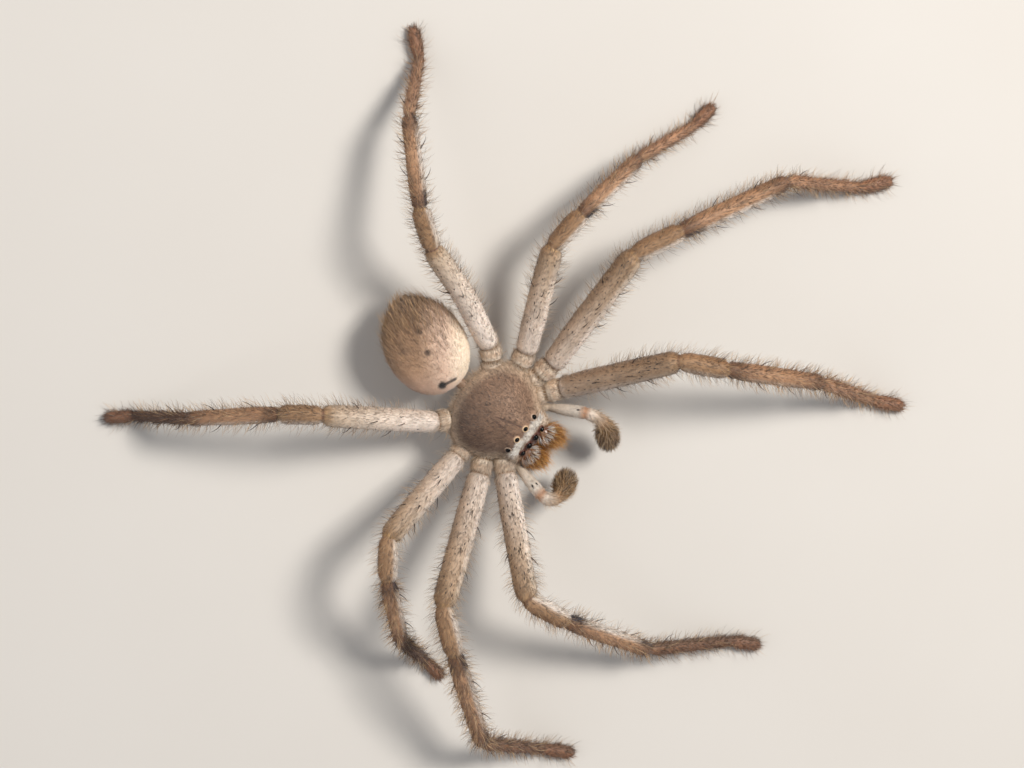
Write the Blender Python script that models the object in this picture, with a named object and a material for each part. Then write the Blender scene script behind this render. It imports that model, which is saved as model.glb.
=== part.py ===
"""A huntsman spider at life size, standing still with its legs spread wide.

The spider looks towards -Y, and its left side is towards +X. Sizes are in millimetres and angles in
degrees, and each finished mesh is scaled to metres. A leg is built outwards from its hip: each piece
has a length, a heading (0 is straight ahead, 90 is straight out to its own side) and a rise above
the level. The feet are flat underneath and all stand at height 0.
"""

import math
import random

import bmesh
import bpy
from mathutils import Matrix, Vector
from mathutils.bvhtree import BVHTree

MM = 0.001
GAP = 0.3
EYE_GAP = 0.12

# Legs
SIDES = {"left": 1, "right": -1}
LEG_PIECES = ("femur", "patella", "tibia", "metatarsus", "tarsus")
HIP_HEIGHT = 5.3
HIPS = {1: (5.05, -3.8), 2: (6.5, -1.75), 3: (6.2, 1.1), 4: (4.35, 4.65)}
# The hind body leans to the left, and that side's last hip stands further out and forward to clear it
HIP_SHIFTS = {("left", 4): (0.44, -0.23)}
LENGTHS = {
    1: (12.8, 4.7, 11.45, 9.25, 3.4),
    2: (14.05, 4.85, 12.45, 9.45, 3.3),
    3: (11.3, 4.1, 8.8, 7.7, 2.8),
    4: (12.6, 4.15, 9.55, 8.05, 3.15),
}
WIDTHS = {
    1: (2.4, 2.05, 1.85, 1.35, 1.4),
    2: (2.5, 2.1, 1.9, 1.35, 1.4),
    3: (2.35, 2.0, 1.75, 1.25, 1.3),
    4: (2.3, 1.95, 1.7, 1.25, 1.3),
}
HEADINGS = {
    ("left", 1): (51, 23, 21, 9, 20),
    ("left", 2): (89, 59, 55, 26, 45),
    ("left", 3): (111, 82, 73, 59, 78),
    ("left", 4): (153, 140, 129, 109, 135),
    ("right", 1): (48, -1, -6, -32, -24),
    ("right", 2): (76, 44, 41, -11, -23),
    ("right", 3): (103, 58, 46, 22, 15),
    ("right", 4): (156, 147, 141, 139, 143),
}
RISES = {
    ("left", 1): (28, 2, -24),
    ("left", 2): (15, 1, -18),
    ("left", 3): (16, 3, -27),
    ("left", 4): (22, 15, -27),
    ("right", 1): (24, -11, -29),
    ("right", 2): (30, 1, -26),
    ("right", 3): (31, 8, -32),
    ("right", 4): (26, -12, -20),
}
ANKLE_HEIGHT = 0.75
TOE_HEIGHT = 0.5

# Each profile lists how far along a piece a ring stands and how wide it is there, both as shares
LEG_PROFILES = {
    "femur": ((0, 0.74), (0.05, 0.9), (0.25, 1.0), (0.6, 0.98), (0.94, 0.88), (1, 0.74)),
    "patella": ((0, 0.78), (0.12, 0.95), (0.45, 1.0), (0.86, 0.96), (1, 0.8)),
    "tibia": ((0, 0.78), (0.06, 0.95), (0.25, 1.0), (0.55, 0.96), (0.94, 0.88), (1, 0.74)),
    "metatarsus": ((0, 0.85), (0.06, 1.0), (0.35, 0.95), (0.94, 0.85), (1, 0.75)),
    "tarsus": ((0, 0.72), (0.12, 0.88), (0.4, 1.0), (0.8, 0.95), (0.95, 0.7), (1, 0.4)),
}
# Height of a leg piece's cross-section as a share of its width
LEG_DEPTH = {"femur": 1.12, "patella": 1.0, "tibia": 0.98, "metatarsus": 0.95, "tarsus": 0.9}
LEG_CORNERS = 10

# Spines of every leg: piece, share of its length, angle round it (0 is on top, 90 in front) and length
SPINES = (
    ("femur", 0.34, 0, 1.7), ("femur", 0.6, 5, 1.8), ("femur", 0.45, 68, 1.7), ("femur", 0.74, 62, 1.6),
    ("femur", 0.68, -62, 1.6),
    ("tibia", 0.28, 80, 1.7), ("tibia", 0.66, 78, 1.7), ("tibia", 0.3, -80, 1.7), ("tibia", 0.68, -78, 1.6),
    ("tibia", 0.2, 150, 1.9),
    ("metatarsus", 0.16, 95, 1.7), ("metatarsus", 0.2, -95, 1.7),
)
SPINE_RADIUS = 0.26
SPINE_SUNK = 0.42
SPINE_LEAN = 46.0
SPINE_BEND = 14.0
SPINE_CORNERS = 4
SPINE_SPREAD = 0.12

# Coxa and trochanter of each leg, fused to the front body
COXA_CENTRE = Vector((0, 0.4, 4.75))
COXA_INNER_REACH = 2.0
COXA_WIDTH = 2.35
COXA_CORNERS = 9
COXA_PROFILE = ((0, 0.85), (0.4, 1.05), (0.62, 1.02), (0.7, 0.82), (0.76, 0.94), (0.92, 0.92), (1, 0.76))

# Front body: a round shield with a blunt face, over a narrower breastplate
HEAD_TURN = -5.0
PEDICEL_Y = 4.6
SHIELD_HALF_WIDTH = 5.1
SHIELD_MIDDLE_Y = 0.9
SHIELD_FRONT_REACH = 4.73
SHIELD_REAR_REACH = 3.6
SHIELD_CENTRE_Y = 0.4
FACE_REACH = 0.77
FACE_CORNER_REACH = 0.26
FACE_HALF_WIDTH = 2.5
FACE_OUTER = 3.4
RIM_HEIGHT = 5.5
FACE_RIM_RAISE = 0.8
SHIELD_TOP = 8.9
STERNUM_HEIGHT = 3.7
BODY_SEGMENTS = 28
BODY_RINGS = 14

# Eyes: distance from the midline, Y and radius, in the head's own frame
EYES = {
    "anterior_median": (0.51, -4.03, 0.27),
    "anterior_lateral": (1.49, -4.05, 0.27),
    "posterior_median": (0.67, -2.53, 0.25),
    "posterior_lateral": (2.05, -2.58, 0.27),
}
EYE_SUNK = 0.02

# Jaws and fangs; each row of bristle locks has its share of the jaw's length and a count
JAW_ROOT = Vector((1.27, -4.55, 5.95))
JAW_TIP = Vector((1.3, -6.1, 2.55))
JAW_WIDTH = 2.2
JAW_DEPTH = 2.5
JAW_PROFILE = ((0, 0.84), (0.12, 0.96), (0.38, 1.0), (0.65, 0.93), (0.88, 0.76), (1, 0.58))
JAW_LOCK_ROWS = ((0.08, 4), (0.3, 5), (0.52, 4), (0.72, 3))
JAW_LOCK_LENGTH = 1.5
JAW_LOCK_WIDTH = 0.85
JAW_LOCK_FAN = 96.0
JAW_LOCK_SPREAD = 0.45
JAW_INNER_LIMIT = -0.75
FANG_RADIUS = 0.32
FANG_SPAN = 1.5
FANG_STEPS = 4

# Feelers: joints of each one, from its root past the femur, the knee and the tibia to its tip
PALPS = {
    "left": ((2.75, -4.0, 4.8), (4.4, -6.9, 7.0), (4.95, -8.5, 7.2), (4.2, -9.5, 5.9), (2.65, -11.4, 3.4)),
    "right": ((-3.85, -4.6, 4.8), (-4.75, -7.7, 7.0), (-5.05, -9.3, 7.1), (-3.75, -9.5, 5.8), (-1.95, -9.5, 3.6)),
}
PALP_ROOT = (1.9, -2.6, 4.5)
PALP_ROOT_WIDTH = 1.1
PALP_FEMUR_WIDTH = 1.4
PALP_KNEE_WIDTH = 1.4
PALP_FEMUR_PROFILE = ((0, 0.5), (0.1, 0.56), (0.5, 0.78), (0.88, 1.0), (1, 0.8))
PALP_END_GIRTH = 0.8
CYMBIUM_WIDTH = 2.1
CYMBIUM_DEPTH = 0.9
CYMBIUM_PROFILE = ((0, 0.55), (0.12, 0.82), (0.38, 1.0), (0.65, 0.95), (0.88, 0.62), (1, 0.25))
PALP_CORNERS = 8
PALP_LOCK_ROWS = ((0.18, 5), (0.45, 4), (0.7, 3))
PALP_LOCK_LENGTH = 1.2
PALP_LOCK_WIDTH = 0.85

# Hind body, its stalk and its spinnerets; each row of locks has its angle from the front end and a count
ABDOMEN_CENTRE = Vector((1.4, 9.72, 5.3))
ABDOMEN_TURN = 28.0
ABDOMEN_HALF_LENGTH = 5.15
ABDOMEN_HALF_WIDTH = 4.1
ABDOMEN_HALF_HEIGHT = 3.3
ABDOMEN_TAPER = -0.05
ABDOMEN_SEGMENTS = 22
ABDOMEN_RINGS = 12
ABDOMEN_LOCK_ROWS = ((70, 9), (87, 10), (104, 10), (120, 10), (136, 8), (152, 6))
ABDOMEN_LOCK_LENGTH = 2.3
ABDOMEN_LOCK_WIDTH = 1.3
LOCK_THICKNESS = 0.52
LOCK_SUNK = 0.35
LOCK_LIFT = 0.42
LOCK_SEED = 43
LOCK_STEPS = ((0.36, 0.3), (0.7, 0.68), (1.0, 1.0))
PEDICEL_RADIUS = 0.65
PEDICEL_END_Y = 5.9
PEDICEL_HEIGHT = 5.2
SPINNERET_RADIUS = 0.45
SPINNERET_LENGTH = 1.5

# Colours as linear red, green and blue
PALE_FAWN = (0.42, 0.33, 0.26)
FAWN = (0.33, 0.25, 0.19)
BROWN = (0.17, 0.11, 0.075)
DARK_BROWN = (0.06, 0.04, 0.03)
MAUVE_BROWN = (0.25, 0.18, 0.13)
GOLD_BROWN = (0.33, 0.17, 0.05)
OLIVE_BROWN = (0.16, 0.12, 0.07)
EYE_BLACK = (0.01, 0.009, 0.008)
LEG_COLOURS = {"femur": PALE_FAWN, "patella": PALE_FAWN, "tibia": FAWN, "metatarsus": BROWN, "tarsus": DARK_BROWN}
HAIRY = 0.75
SHARP_ANGLE = 55.0
GLOSSY = 0.12


def clear_scene():
    """Remove every object that the scene starts with."""
    for item in list(bpy.data.objects):
        bpy.data.objects.remove(item, do_unlink=True)


def smooth(value):
    """Ease from 0 to 1 with no corner at either end."""
    value = min(max(value, 0.0), 1.0)
    return value * value * (3 - 2 * value)


def heading_vector(side, heading, rise):
    """Unit vector of a heading to the spider's own side and a rise above the level."""
    h, r = math.radians(heading), math.radians(rise)
    return Vector((side * math.sin(h) * math.cos(r), -math.cos(h) * math.cos(r), math.sin(r)))


def head_frame():
    """The small turn of the front body about its stalk."""
    pivot = Vector((0, PEDICEL_Y, 0))
    turn = Matrix.Rotation(math.radians(HEAD_TURN), 4, "Z")
    return Matrix.Translation(pivot) @ turn @ Matrix.Translation(-pivot)


def loft(rings):
    """Close a skin over rings that have the same number of corners."""
    bm = bmesh.new()
    loops = [[bm.verts.new(point) for point in ring] for ring in rings]
    for lower, upper in zip(loops, loops[1:]):
        count = len(lower)
        for i in range(count):
            j = (i + 1) % count
            bm.faces.new((lower[i], lower[j], upper[j], upper[i]))
    bm.faces.new(list(reversed(loops[0])))
    bm.faces.new(loops[-1])
    bmesh.ops.recalc_face_normals(bm, faces=bm.faces)
    return bm


def tube_frame(axis):
    """Two directions across an axis: level, and upwards."""
    across = axis.cross(Vector((0, 0, 1)))
    across = across.normalized() if across.length > 1e-6 else Vector((1, 0, 0))
    return across, across.cross(axis).normalized()


def tube(start, end, profile, width, depth, start_normal=None, end_normal=None, gap=GAP, corners=LEG_CORNERS,
         grow=0.0):
    """A round-sided piece between two joints, cut at each joint square to the normal given there.

    The cuts stand half a gap back from the joint, and the rings between them turn gradually from
    one cut to the other. With grow the piece is fatter and longer by that much all round.
    """
    axis = (end - start).normalized()
    across, up = tube_frame(axis)
    start_normal = start_normal or axis
    end_normal = end_normal or axis
    rings = []
    for share, girth in profile:
        ring = []
        for i in range(corners):
            angle = 2 * math.pi * (i + 0.5) / corners
            offset = across * math.cos(angle) * (width / 2 * girth + grow)
            offset += up * math.sin(angle) * (depth / 2 * girth + grow)
            near = (gap / 2 - grow - offset.dot(start_normal)) / axis.dot(start_normal)
            far = (end - start).length
            far += (grow - gap / 2 - offset.dot(end_normal)) / axis.dot(end_normal)
            ring.append(start + offset + axis * (near * (1 - share) + far * share))
        rings.append(ring)
    return loft(rings)


def node(name, bm, origin, colour, roughness=HAIRY):
    """Turn a mesh in millimetres into a finished object that is placed by its own origin."""
    bmesh.ops.translate(bm, verts=bm.verts, vec=-origin)
    bmesh.ops.scale(bm, verts=bm.verts, vec=(MM, MM, MM))
    mesh = bpy.data.meshes.new(name)
    bm.to_mesh(mesh)
    bm.free()
    mesh.shade_smooth()
    mesh.set_sharp_from_angle(angle=math.radians(SHARP_ANGLE))
    material = bpy.data.materials.new(name)
    material.use_nodes = True
    shader = material.node_tree.nodes["Principled BSDF"]
    shader.inputs["Base Color"].default_value = (*colour, 1)
    shader.inputs["Roughness"].default_value = roughness
    shader.inputs["Metallic"].default_value = 0
    mesh.materials.append(material)
    item = bpy.data.objects.new(name, mesh)
    item.location = origin * MM
    item.parent = ROOT
    SPIDER.objects.link(item)
    return item


def scratch_object(bm):
    """A loose object that a Boolean reads, in millimetres."""
    mesh = bpy.data.meshes.new("scratch")
    bm.to_mesh(mesh)
    bm.free()
    item = bpy.data.objects.new("scratch", mesh)
    return item


def keep_largest(bm):
    """Drop every closed surface but the one with the most faces."""
    bm.faces.ensure_lookup_table()
    unseen = set(bm.faces)
    shells = []
    while unseen:
        seed = unseen.pop()
        shell, front = [seed], [seed]
        while front:
            face = front.pop()
            for edge in face.edges:
                for other in edge.link_faces:
                    if other in unseen:
                        unseen.remove(other)
                        shell.append(other)
                        front.append(other)
        shells.append(shell)
    shells.sort(key=len, reverse=True)
    for shell in shells[1:]:
        bmesh.ops.delete(bm, geom=shell, context="FACES")
    return bm


def combine(core, added, removed=()):
    """Fuse closed meshes to a core, cut others out of it and keep the largest closed surface."""
    host = scratch_object(core)
    bpy.context.scene.collection.objects.link(host)
    groups = []
    for operation, pieces in (("UNION", added), ("DIFFERENCE", removed)):
        if not pieces:
            continue
        group = bpy.data.collections.new("scratch")
        bpy.context.scene.collection.children.link(group)
        for piece in pieces:
            group.objects.link(scratch_object(piece))
        step = host.modifiers.new("combine", "BOOLEAN")
        step.operation = operation
        step.operand_type = "COLLECTION"
        step.collection = group
        step.solver = "EXACT"
        groups.append(group)
    bpy.context.view_layer.update()
    view = host.evaluated_get(bpy.context.evaluated_depsgraph_get())
    mesh = bpy.data.meshes.new_from_object(view)
    bm = bmesh.new()
    bm.from_mesh(mesh)
    for group in groups:
        for item in list(group.objects):
            bpy.data.objects.remove(item, do_unlink=True)
        bpy.data.collections.remove(group)
    bpy.data.objects.remove(host, do_unlink=True)
    bmesh.ops.remove_doubles(bm, verts=bm.verts, dist=0.0001)
    return keep_largest(bm)


def ball(centre, radius, segments=8, rings=6):
    """A closed ball in millimetres."""
    bm = bmesh.new()
    bmesh.ops.create_uvsphere(bm, u_segments=segments, v_segments=rings, radius=radius)
    bmesh.ops.translate(bm, verts=bm.verts, vec=centre)
    return bm


def tapered(path, normals, width, thickness, corners=4):
    """A pointed form along a path: each ring is wide across the path and thin along its normal.

    The path's first point is sunk in the surface, and the last one is the tip.
    """
    bm = bmesh.new()
    loops = []
    count = len(path) - 1
    for i in range(count):
        axis = (path[i + 1] - path[i]).normalized()
        across = axis.cross(normals[i]).normalized()
        over = across.cross(axis).normalized()
        taper = 1 - 0.42 * (i / count) ** 1.5
        loop = []
        for corner in range(corners):
            angle = 2 * math.pi * corner / corners
            offset = across * math.cos(angle) * width / 2 + over * math.sin(angle) * thickness / 2
            loop.append(bm.verts.new(path[i] + offset * taper))
        loops.append(loop)
    for lower, upper in zip(loops, loops[1:]):
        for i in range(corners):
            j = (i + 1) % corners
            bm.faces.new((lower[i], lower[j], upper[j]))
            bm.faces.new((lower[i], upper[j], upper[i]))
    tip = bm.verts.new(path[-1])
    for i in range(corners):
        bm.faces.new((loops[-1][i], loops[-1][(i + 1) % corners], tip))
    bm.faces.new(list(reversed(loops[0])))
    bmesh.ops.recalc_face_normals(bm, faces=bm.faces)
    return bm


def lock(root, normal, lie, length, width, lift=LOCK_LIFT, skin=None):
    """A flat lock that leaves the skin, bends over and lies along the coat.

    With the skin given as a search tree the lock follows its curve, and otherwise it runs straight.
    """
    lie = (lie - normal * lie.dot(normal)).normalized()
    path = [root - normal * LOCK_SUNK - lie * LOCK_SUNK]
    normals = [normal]
    for share, rise in LOCK_STEPS:
        point, facing = root + lie * length * share, normal
        if skin:
            point, facing, _, _ = skin.find_nearest(point)
        path.append(point + facing * lift * rise)
        normals.append(facing)
    return tapered(path, normals, width, LOCK_THICKNESS)


def spine(root, normal, lie, length):
    """A bent thorn that leans along the leg."""
    lie = (lie - normal * lie.dot(normal)).normalized()
    path = []
    for reach, lean in ((-SPINE_SUNK, SPINE_LEAN), (length * 0.45, SPINE_LEAN), (length, SPINE_LEAN + SPINE_BEND)):
        angle = math.radians(lean)
        path.append(root + (lie * math.sin(angle) + normal * math.cos(angle)) * reach)
    return tapered(path, [normal] * 3, 2 * SPINE_RADIUS, 2 * SPINE_RADIUS, SPINE_CORNERS)


def tube_surface(start, end, width, depth, profile, share, angle):
    """Skin point of a tube and its normal, by the share of its length and the angle round it."""
    axis = (end - start).normalized()
    across, up = tube_frame(axis)
    front = across if across.dot(Vector((0, -1, 0))) >= 0 else -across
    turn = math.radians(angle)
    shares = [ring[0] for ring in profile]
    above = next(i for i, ring_share in enumerate(shares) if ring_share >= share)
    below = max(above - 1, 0)
    span = max(shares[above] - shares[below], 1e-6)
    blend = (share - shares[below]) / span
    girth = profile[below][1] * (1 - blend) + profile[above][1] * blend
    normal = front * math.sin(turn) / width + up * math.cos(turn) / depth
    offset = front * math.sin(turn) * width / 2 + up * math.cos(turn) * depth / 2
    return start + (end - start) * share + offset * girth * 0.97, normal.normalized()


def leg_joints(side_name, pair):
    """Joint points of one leg, from the hip to the toe, worked out piece by piece."""
    side = SIDES[side_name]
    out, y = HIPS[pair]
    out_shift, y_shift = HIP_SHIFTS.get((side_name, pair), (0.0, 0.0))
    points = [Vector((side * (out + out_shift), y + y_shift, HIP_HEIGHT))]
    headings = HEADINGS[side_name, pair]
    lengths = LENGTHS[pair]
    rises = list(RISES[side_name, pair])
    for length, heading in zip(lengths, headings):
        step = len(points) - 1
        if step == len(rises):
            target = ANKLE_HEIGHT if LEG_PIECES[step] == "metatarsus" else TOE_HEIGHT
            rises.append(math.degrees(math.asin((target - points[-1].z) / length)))
        points.append(points[-1] + heading_vector(side, heading, rises[step]) * length)
    return points


def joint_normals(points, first):
    """The cut at each joint halves the bend there; the first is halved with the direction given."""
    axes = [first] + [(b - a).normalized() for a, b in zip(points, points[1:])]
    normals = [(a + b).normalized() for a, b in zip(axes, axes[1:])]
    return normals + [axes[-1]]


def coxa_root(points):
    """Point under the shield where the coxa that ends at a hip starts."""
    reach = (points[0] - COXA_CENTRE).normalized() * COXA_INNER_REACH
    return COXA_CENTRE + Vector((reach.x, reach.y, 0))


def leg(side_name, pair):
    """Five nodes of one leg. The mesh of its coxa and trochanter is returned for the front body."""
    chance = random.Random(f"{side_name} {pair}")
    points = leg_joints(side_name, pair)
    root = coxa_root(points)
    normals = joint_normals(points, (points[0] - root).normalized())
    for i, piece in enumerate(LEG_PIECES):
        width = WIDTHS[pair][i]
        depth = width * LEG_DEPTH[piece]
        bm = tube(points[i], points[i + 1], LEG_PROFILES[piece], width, depth, normals[i], normals[i + 1])
        if piece == "tarsus":
            for vert in bm.verts:
                vert.co.z = max(vert.co.z, 0.0)
        thorns = []
        for owner, share, angle, length in SPINES:
            if owner != piece:
                continue
            share += chance.uniform(-SPINE_SPREAD, SPINE_SPREAD) / 2
            spot, normal = tube_surface(points[i], points[i + 1], width, depth, LEG_PROFILES[piece], share,
                                        angle + chance.uniform(-6, 6))
            thorns.append(spine(spot, normal, points[i + 1] - points[i], length))
        if thorns:
            bm = combine(bm, thorns)
        node(f"leg_{side_name}_{pair}_{piece}", bm, points[i], LEG_COLOURS[piece])
    return tube(root, points[0], COXA_PROFILE, COXA_WIDTH, COXA_WIDTH, None, normals[0], corners=COXA_CORNERS)


def shield_outline(angle):
    """A point on the shield's rim: an ellipse drawn out in front into a blunt face."""
    x = SHIELD_HALF_WIDTH * math.sin(angle)
    ahead = math.cos(angle)
    y = SHIELD_MIDDLE_Y - ahead * (SHIELD_FRONT_REACH if ahead > 0 else SHIELD_REAR_REACH)
    if ahead > 0:
        inside = smooth((FACE_OUTER - abs(x)) / (FACE_OUTER - FACE_HALF_WIDTH))
        y -= inside * (FACE_REACH + FACE_CORNER_REACH * min(abs(x) / FACE_HALF_WIDTH, 1) ** 2)
    return x, y


def front_body_core():
    """Shield and breastplate: a ball whose rings are pulled out to the shield's outline."""
    bm = bmesh.new()
    bmesh.ops.create_uvsphere(bm, u_segments=BODY_SEGMENTS, v_segments=BODY_RINGS, radius=1)
    for vert in bm.verts:
        direction = vert.co.normalized()
        angle = math.atan2(direction.x, -direction.y)
        reach = math.hypot(direction.x, direction.y)
        x, y = shield_outline(angle)
        ahead = smooth((math.cos(angle) - 0.6) / 0.35)
        rim = RIM_HEIGHT + FACE_RIM_RAISE * ahead
        if direction.z >= 0:
            z = rim + (SHIELD_TOP - rim) * (1 - reach ** 2.3) ** 0.78 if reach < 1 else rim
            tuck = 1.0
        else:
            z = rim - (rim - STERNUM_HEIGHT) * max(1 - reach ** 3, 0) ** 0.7
            tuck = 1 - 0.3 * abs(direction.z) ** 0.6
        share = reach * tuck
        vert.co = Vector((x * share, SHIELD_CENTRE_Y + (y - SHIELD_CENTRE_Y) * share, z))
    bm.transform(head_frame())
    return bm


def eye_places(core):
    """Centre and radius of each eye, set on the shield's surface."""
    tree = BVHTree.FromBMesh(core)
    places = {}
    for side_name, side in SIDES.items():
        for kind, (out, y, radius) in EYES.items():
            above = head_frame() @ Vector((side * out, y, 20))
            spot, normal, _, _ = tree.ray_cast(above, Vector((0, 0, -1)))
            places[f"eye_{side_name}_{kind}"] = (spot - normal * EYE_SUNK, radius)
    return places


def jaw(side, grow=0.0):
    """One jaw, or with grow the room it needs."""
    start = Vector((side * JAW_ROOT.x, JAW_ROOT.y, JAW_ROOT.z))
    end = Vector((side * JAW_TIP.x, JAW_TIP.y, JAW_TIP.z))
    bm = tube(start, end, JAW_PROFILE, JAW_WIDTH, JAW_DEPTH, grow=grow)
    bm.transform(head_frame())
    return bm


def jaw_locks(side):
    """Bristle locks over the front and sides of a jaw, fanning down and outwards."""
    start = Vector((side * JAW_ROOT.x, JAW_ROOT.y, JAW_ROOT.z))
    end = Vector((side * JAW_TIP.x, JAW_TIP.y, JAW_TIP.z))
    locks = []
    for row, (share, count) in enumerate(JAW_LOCK_ROWS):
        for i in range(count):
            angle = JAW_LOCK_FAN * (2 * (i + 0.5) / count - 1) * (1 if row % 2 else 0.9)
            root, normal = tube_surface(start, end, JAW_WIDTH, JAW_DEPTH, JAW_PROFILE, share, angle)
            if normal.x * side < JAW_INNER_LIMIT:
                continue
            lie = (end - start).normalized() + Vector((normal.x, 0, 0)) * JAW_LOCK_SPREAD
            bm = lock(root, normal, lie, JAW_LOCK_LENGTH, JAW_LOCK_WIDTH, lift=LOCK_LIFT * 1.2)
            bm.transform(head_frame())
            locks.append(bm)
    return locks


def fang(side):
    """A curved hook that starts under the jaw's tip and folds inwards and back."""
    start = Vector((side * JAW_TIP.x, JAW_TIP.y, JAW_TIP.z))
    down = (JAW_TIP - JAW_ROOT).normalized()
    start += Vector((0, down.y, down.z)) * GAP / 2
    rings = []
    for step in range(FANG_STEPS + 1):
        share = step / FANG_STEPS
        bend = share * math.radians(80)
        centre = start + Vector((
            -side * FANG_SPAN * (1 - math.cos(bend)) * 0.75,
            FANG_SPAN * 0.35 * share,
            -FANG_SPAN * 0.42 * math.sin(bend),
        ))
        axis = Vector((-side * math.sin(bend), 0.3, -math.cos(bend))).normalized()
        across = axis.cross(Vector((0, 1, 0))).normalized()
        over = across.cross(axis).normalized()
        radius = FANG_RADIUS * (1 - 0.72 * share)
        ring = []
        for i in range(PALP_CORNERS):
            angle = 2 * math.pi * i / PALP_CORNERS
            ring.append(centre + across * math.cos(angle) * radius + over * math.sin(angle) * radius)
        rings.append(ring)
    bm = loft(rings)
    bm.transform(head_frame())
    return bm


def bow(start, elbow, end, start_normal, end_normal, width, steps=5):
    """A piece that bends once: rings on the curve that leaves the start for the elbow and turns to the end."""
    rings = []
    for step in range(steps + 1):
        share = step / steps
        centre = start * (1 - share) ** 2 + elbow * 2 * share * (1 - share) + end * share ** 2
        axis = ((elbow - start) * (1 - share) + (end - elbow) * share).normalized()
        if step == 0:
            axis, centre = start_normal, start + start_normal * GAP / 2
        if step == steps:
            axis, centre = end_normal, end - end_normal * GAP / 2
        across, up = tube_frame(axis)
        girth = PALP_END_GIRTH if step in (0, steps) else 1.0
        ring = []
        for i in range(PALP_CORNERS):
            angle = 2 * math.pi * (i + 0.5) / PALP_CORNERS
            ring.append(centre + (across * math.cos(angle) + up * math.sin(angle)) * width / 2 * girth)
        rings.append(ring)
    return loft(rings)


def palp(side_name):
    """Three nodes of a feeler. The mesh of its root is returned for the front body."""
    side = SIDES[side_name]
    base, knee, elbow, wrist, tip = (Vector(point) for point in PALPS[side_name])
    root = Vector((side * PALP_ROOT[0], PALP_ROOT[1], PALP_ROOT[2]))
    normals = joint_normals([base, knee, elbow, wrist, tip], (base - root).normalized())
    femur = tube(base, knee, PALP_FEMUR_PROFILE, PALP_FEMUR_WIDTH, PALP_FEMUR_WIDTH,
                 normals[0], normals[1], corners=PALP_CORNERS)
    node(f"palp_{side_name}_femur", femur, base, PALE_FAWN)
    shin = bow(knee, elbow, wrist, normals[1], normals[3], PALP_KNEE_WIDTH)
    node(f"palp_{side_name}_tibia", shin, knee, PALE_FAWN)
    depth = CYMBIUM_WIDTH * CYMBIUM_DEPTH
    cymbium = tube(wrist, tip, CYMBIUM_PROFILE, CYMBIUM_WIDTH, depth, normals[3], normals[4],
                   corners=PALP_CORNERS + 2)
    locks = []
    for row, (share, count) in enumerate(PALP_LOCK_ROWS):
        for i in range(count):
            angle = 360 * (i + row * 0.5) / count
            place, normal = tube_surface(wrist, tip, CYMBIUM_WIDTH, depth, CYMBIUM_PROFILE, share, angle)
            locks.append(lock(place, normal, tip - wrist, PALP_LOCK_LENGTH, PALP_LOCK_WIDTH))
    cymbium = combine(cymbium, locks)
    node(f"palp_{side_name}_cymbium", cymbium, wrist, OLIVE_BROWN)
    return tube(root, base, COXA_PROFILE, PALP_ROOT_WIDTH, PALP_ROOT_WIDTH, None, normals[0],
                corners=PALP_CORNERS)


def pedicel(grow=0.0):
    """The stalk between the two halves of the body."""
    start = Vector((0, PEDICEL_Y - 2.0, PEDICEL_HEIGHT))
    end = Vector((0.25, PEDICEL_END_Y, PEDICEL_HEIGHT + 0.1))
    size = 2 * PEDICEL_RADIUS
    return tube(start, end, ((0, 1.0), (1, 1.0)), size, size, grow=grow, gap=0.0)


def abdomen_frame():
    """Place of the hind body: its long axis runs back and to the left."""
    turn = Matrix.Rotation(math.radians(-ABDOMEN_TURN), 4, "Z")
    return Matrix.Translation(ABDOMEN_CENTRE) @ turn


def abdomen_core():
    """An egg with its poles at its two ends, a little wider in front of its middle."""
    bm = bmesh.new()
    bmesh.ops.create_uvsphere(bm, u_segments=ABDOMEN_SEGMENTS, v_segments=ABDOMEN_RINGS, radius=1)
    bm.transform(Matrix.Rotation(math.radians(90), 4, "X"))
    for vert in bm.verts:
        swell = 1 + ABDOMEN_TAPER * vert.co.y
        vert.co = Vector((
            vert.co.x * ABDOMEN_HALF_WIDTH * swell,
            vert.co.y * ABDOMEN_HALF_LENGTH,
            vert.co.z * ABDOMEN_HALF_HEIGHT * swell,
        ))
    bm.transform(abdomen_frame())
    return bm


def abdomen_locks(core):
    """Rows of locks from the shoulders to the tail, each set on the egg's skin and lying backwards."""
    tree = BVHTree.FromBMesh(core)
    frame = abdomen_frame()
    chance = random.Random(LOCK_SEED)
    locks = []
    for row, (polar, count) in enumerate(ABDOMEN_LOCK_ROWS):
        for i in range(count):
            along = math.radians(polar + chance.uniform(-4, 4))
            around = 2 * math.pi * (i + 0.5 * (row % 2) + chance.uniform(-0.15, 0.15)) / count
            ring = math.sin(along)
            aim = Vector((ring * math.sin(around) * ABDOMEN_HALF_WIDTH, -math.cos(along) * ABDOMEN_HALF_LENGTH,
                          ring * math.cos(around) * ABDOMEN_HALF_HEIGHT))
            root, normal, _, _ = tree.find_nearest(frame @ aim)
            back = frame.to_3x3() @ Vector((0, 1, 0))
            tail = smooth((polar - 90) / 70)
            length = ABDOMEN_LOCK_LENGTH * chance.uniform(0.85, 1.1) * (1 - 0.2 * tail)
            locks.append(lock(root, normal, back, length, ABDOMEN_LOCK_WIDTH, LOCK_LIFT * (1 + tail), tree))
    return locks


def spinnerets():
    """Two short cones under the tail end."""
    pieces = []
    for side in SIDES.values():
        start = Vector((side * 0.45, ABDOMEN_HALF_LENGTH - 1.2, -1.1))
        end = start + Vector((side * 0.12, SPINNERET_LENGTH, -0.55))
        size = 2 * SPINNERET_RADIUS
        bm = tube(start, end, ((0, 1.0), (0.6, 0.9), (1, 0.5)), size, size, gap=0.0, corners=6)
        bm.transform(abdomen_frame())
        pieces.append(bm)
    return pieces


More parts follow.
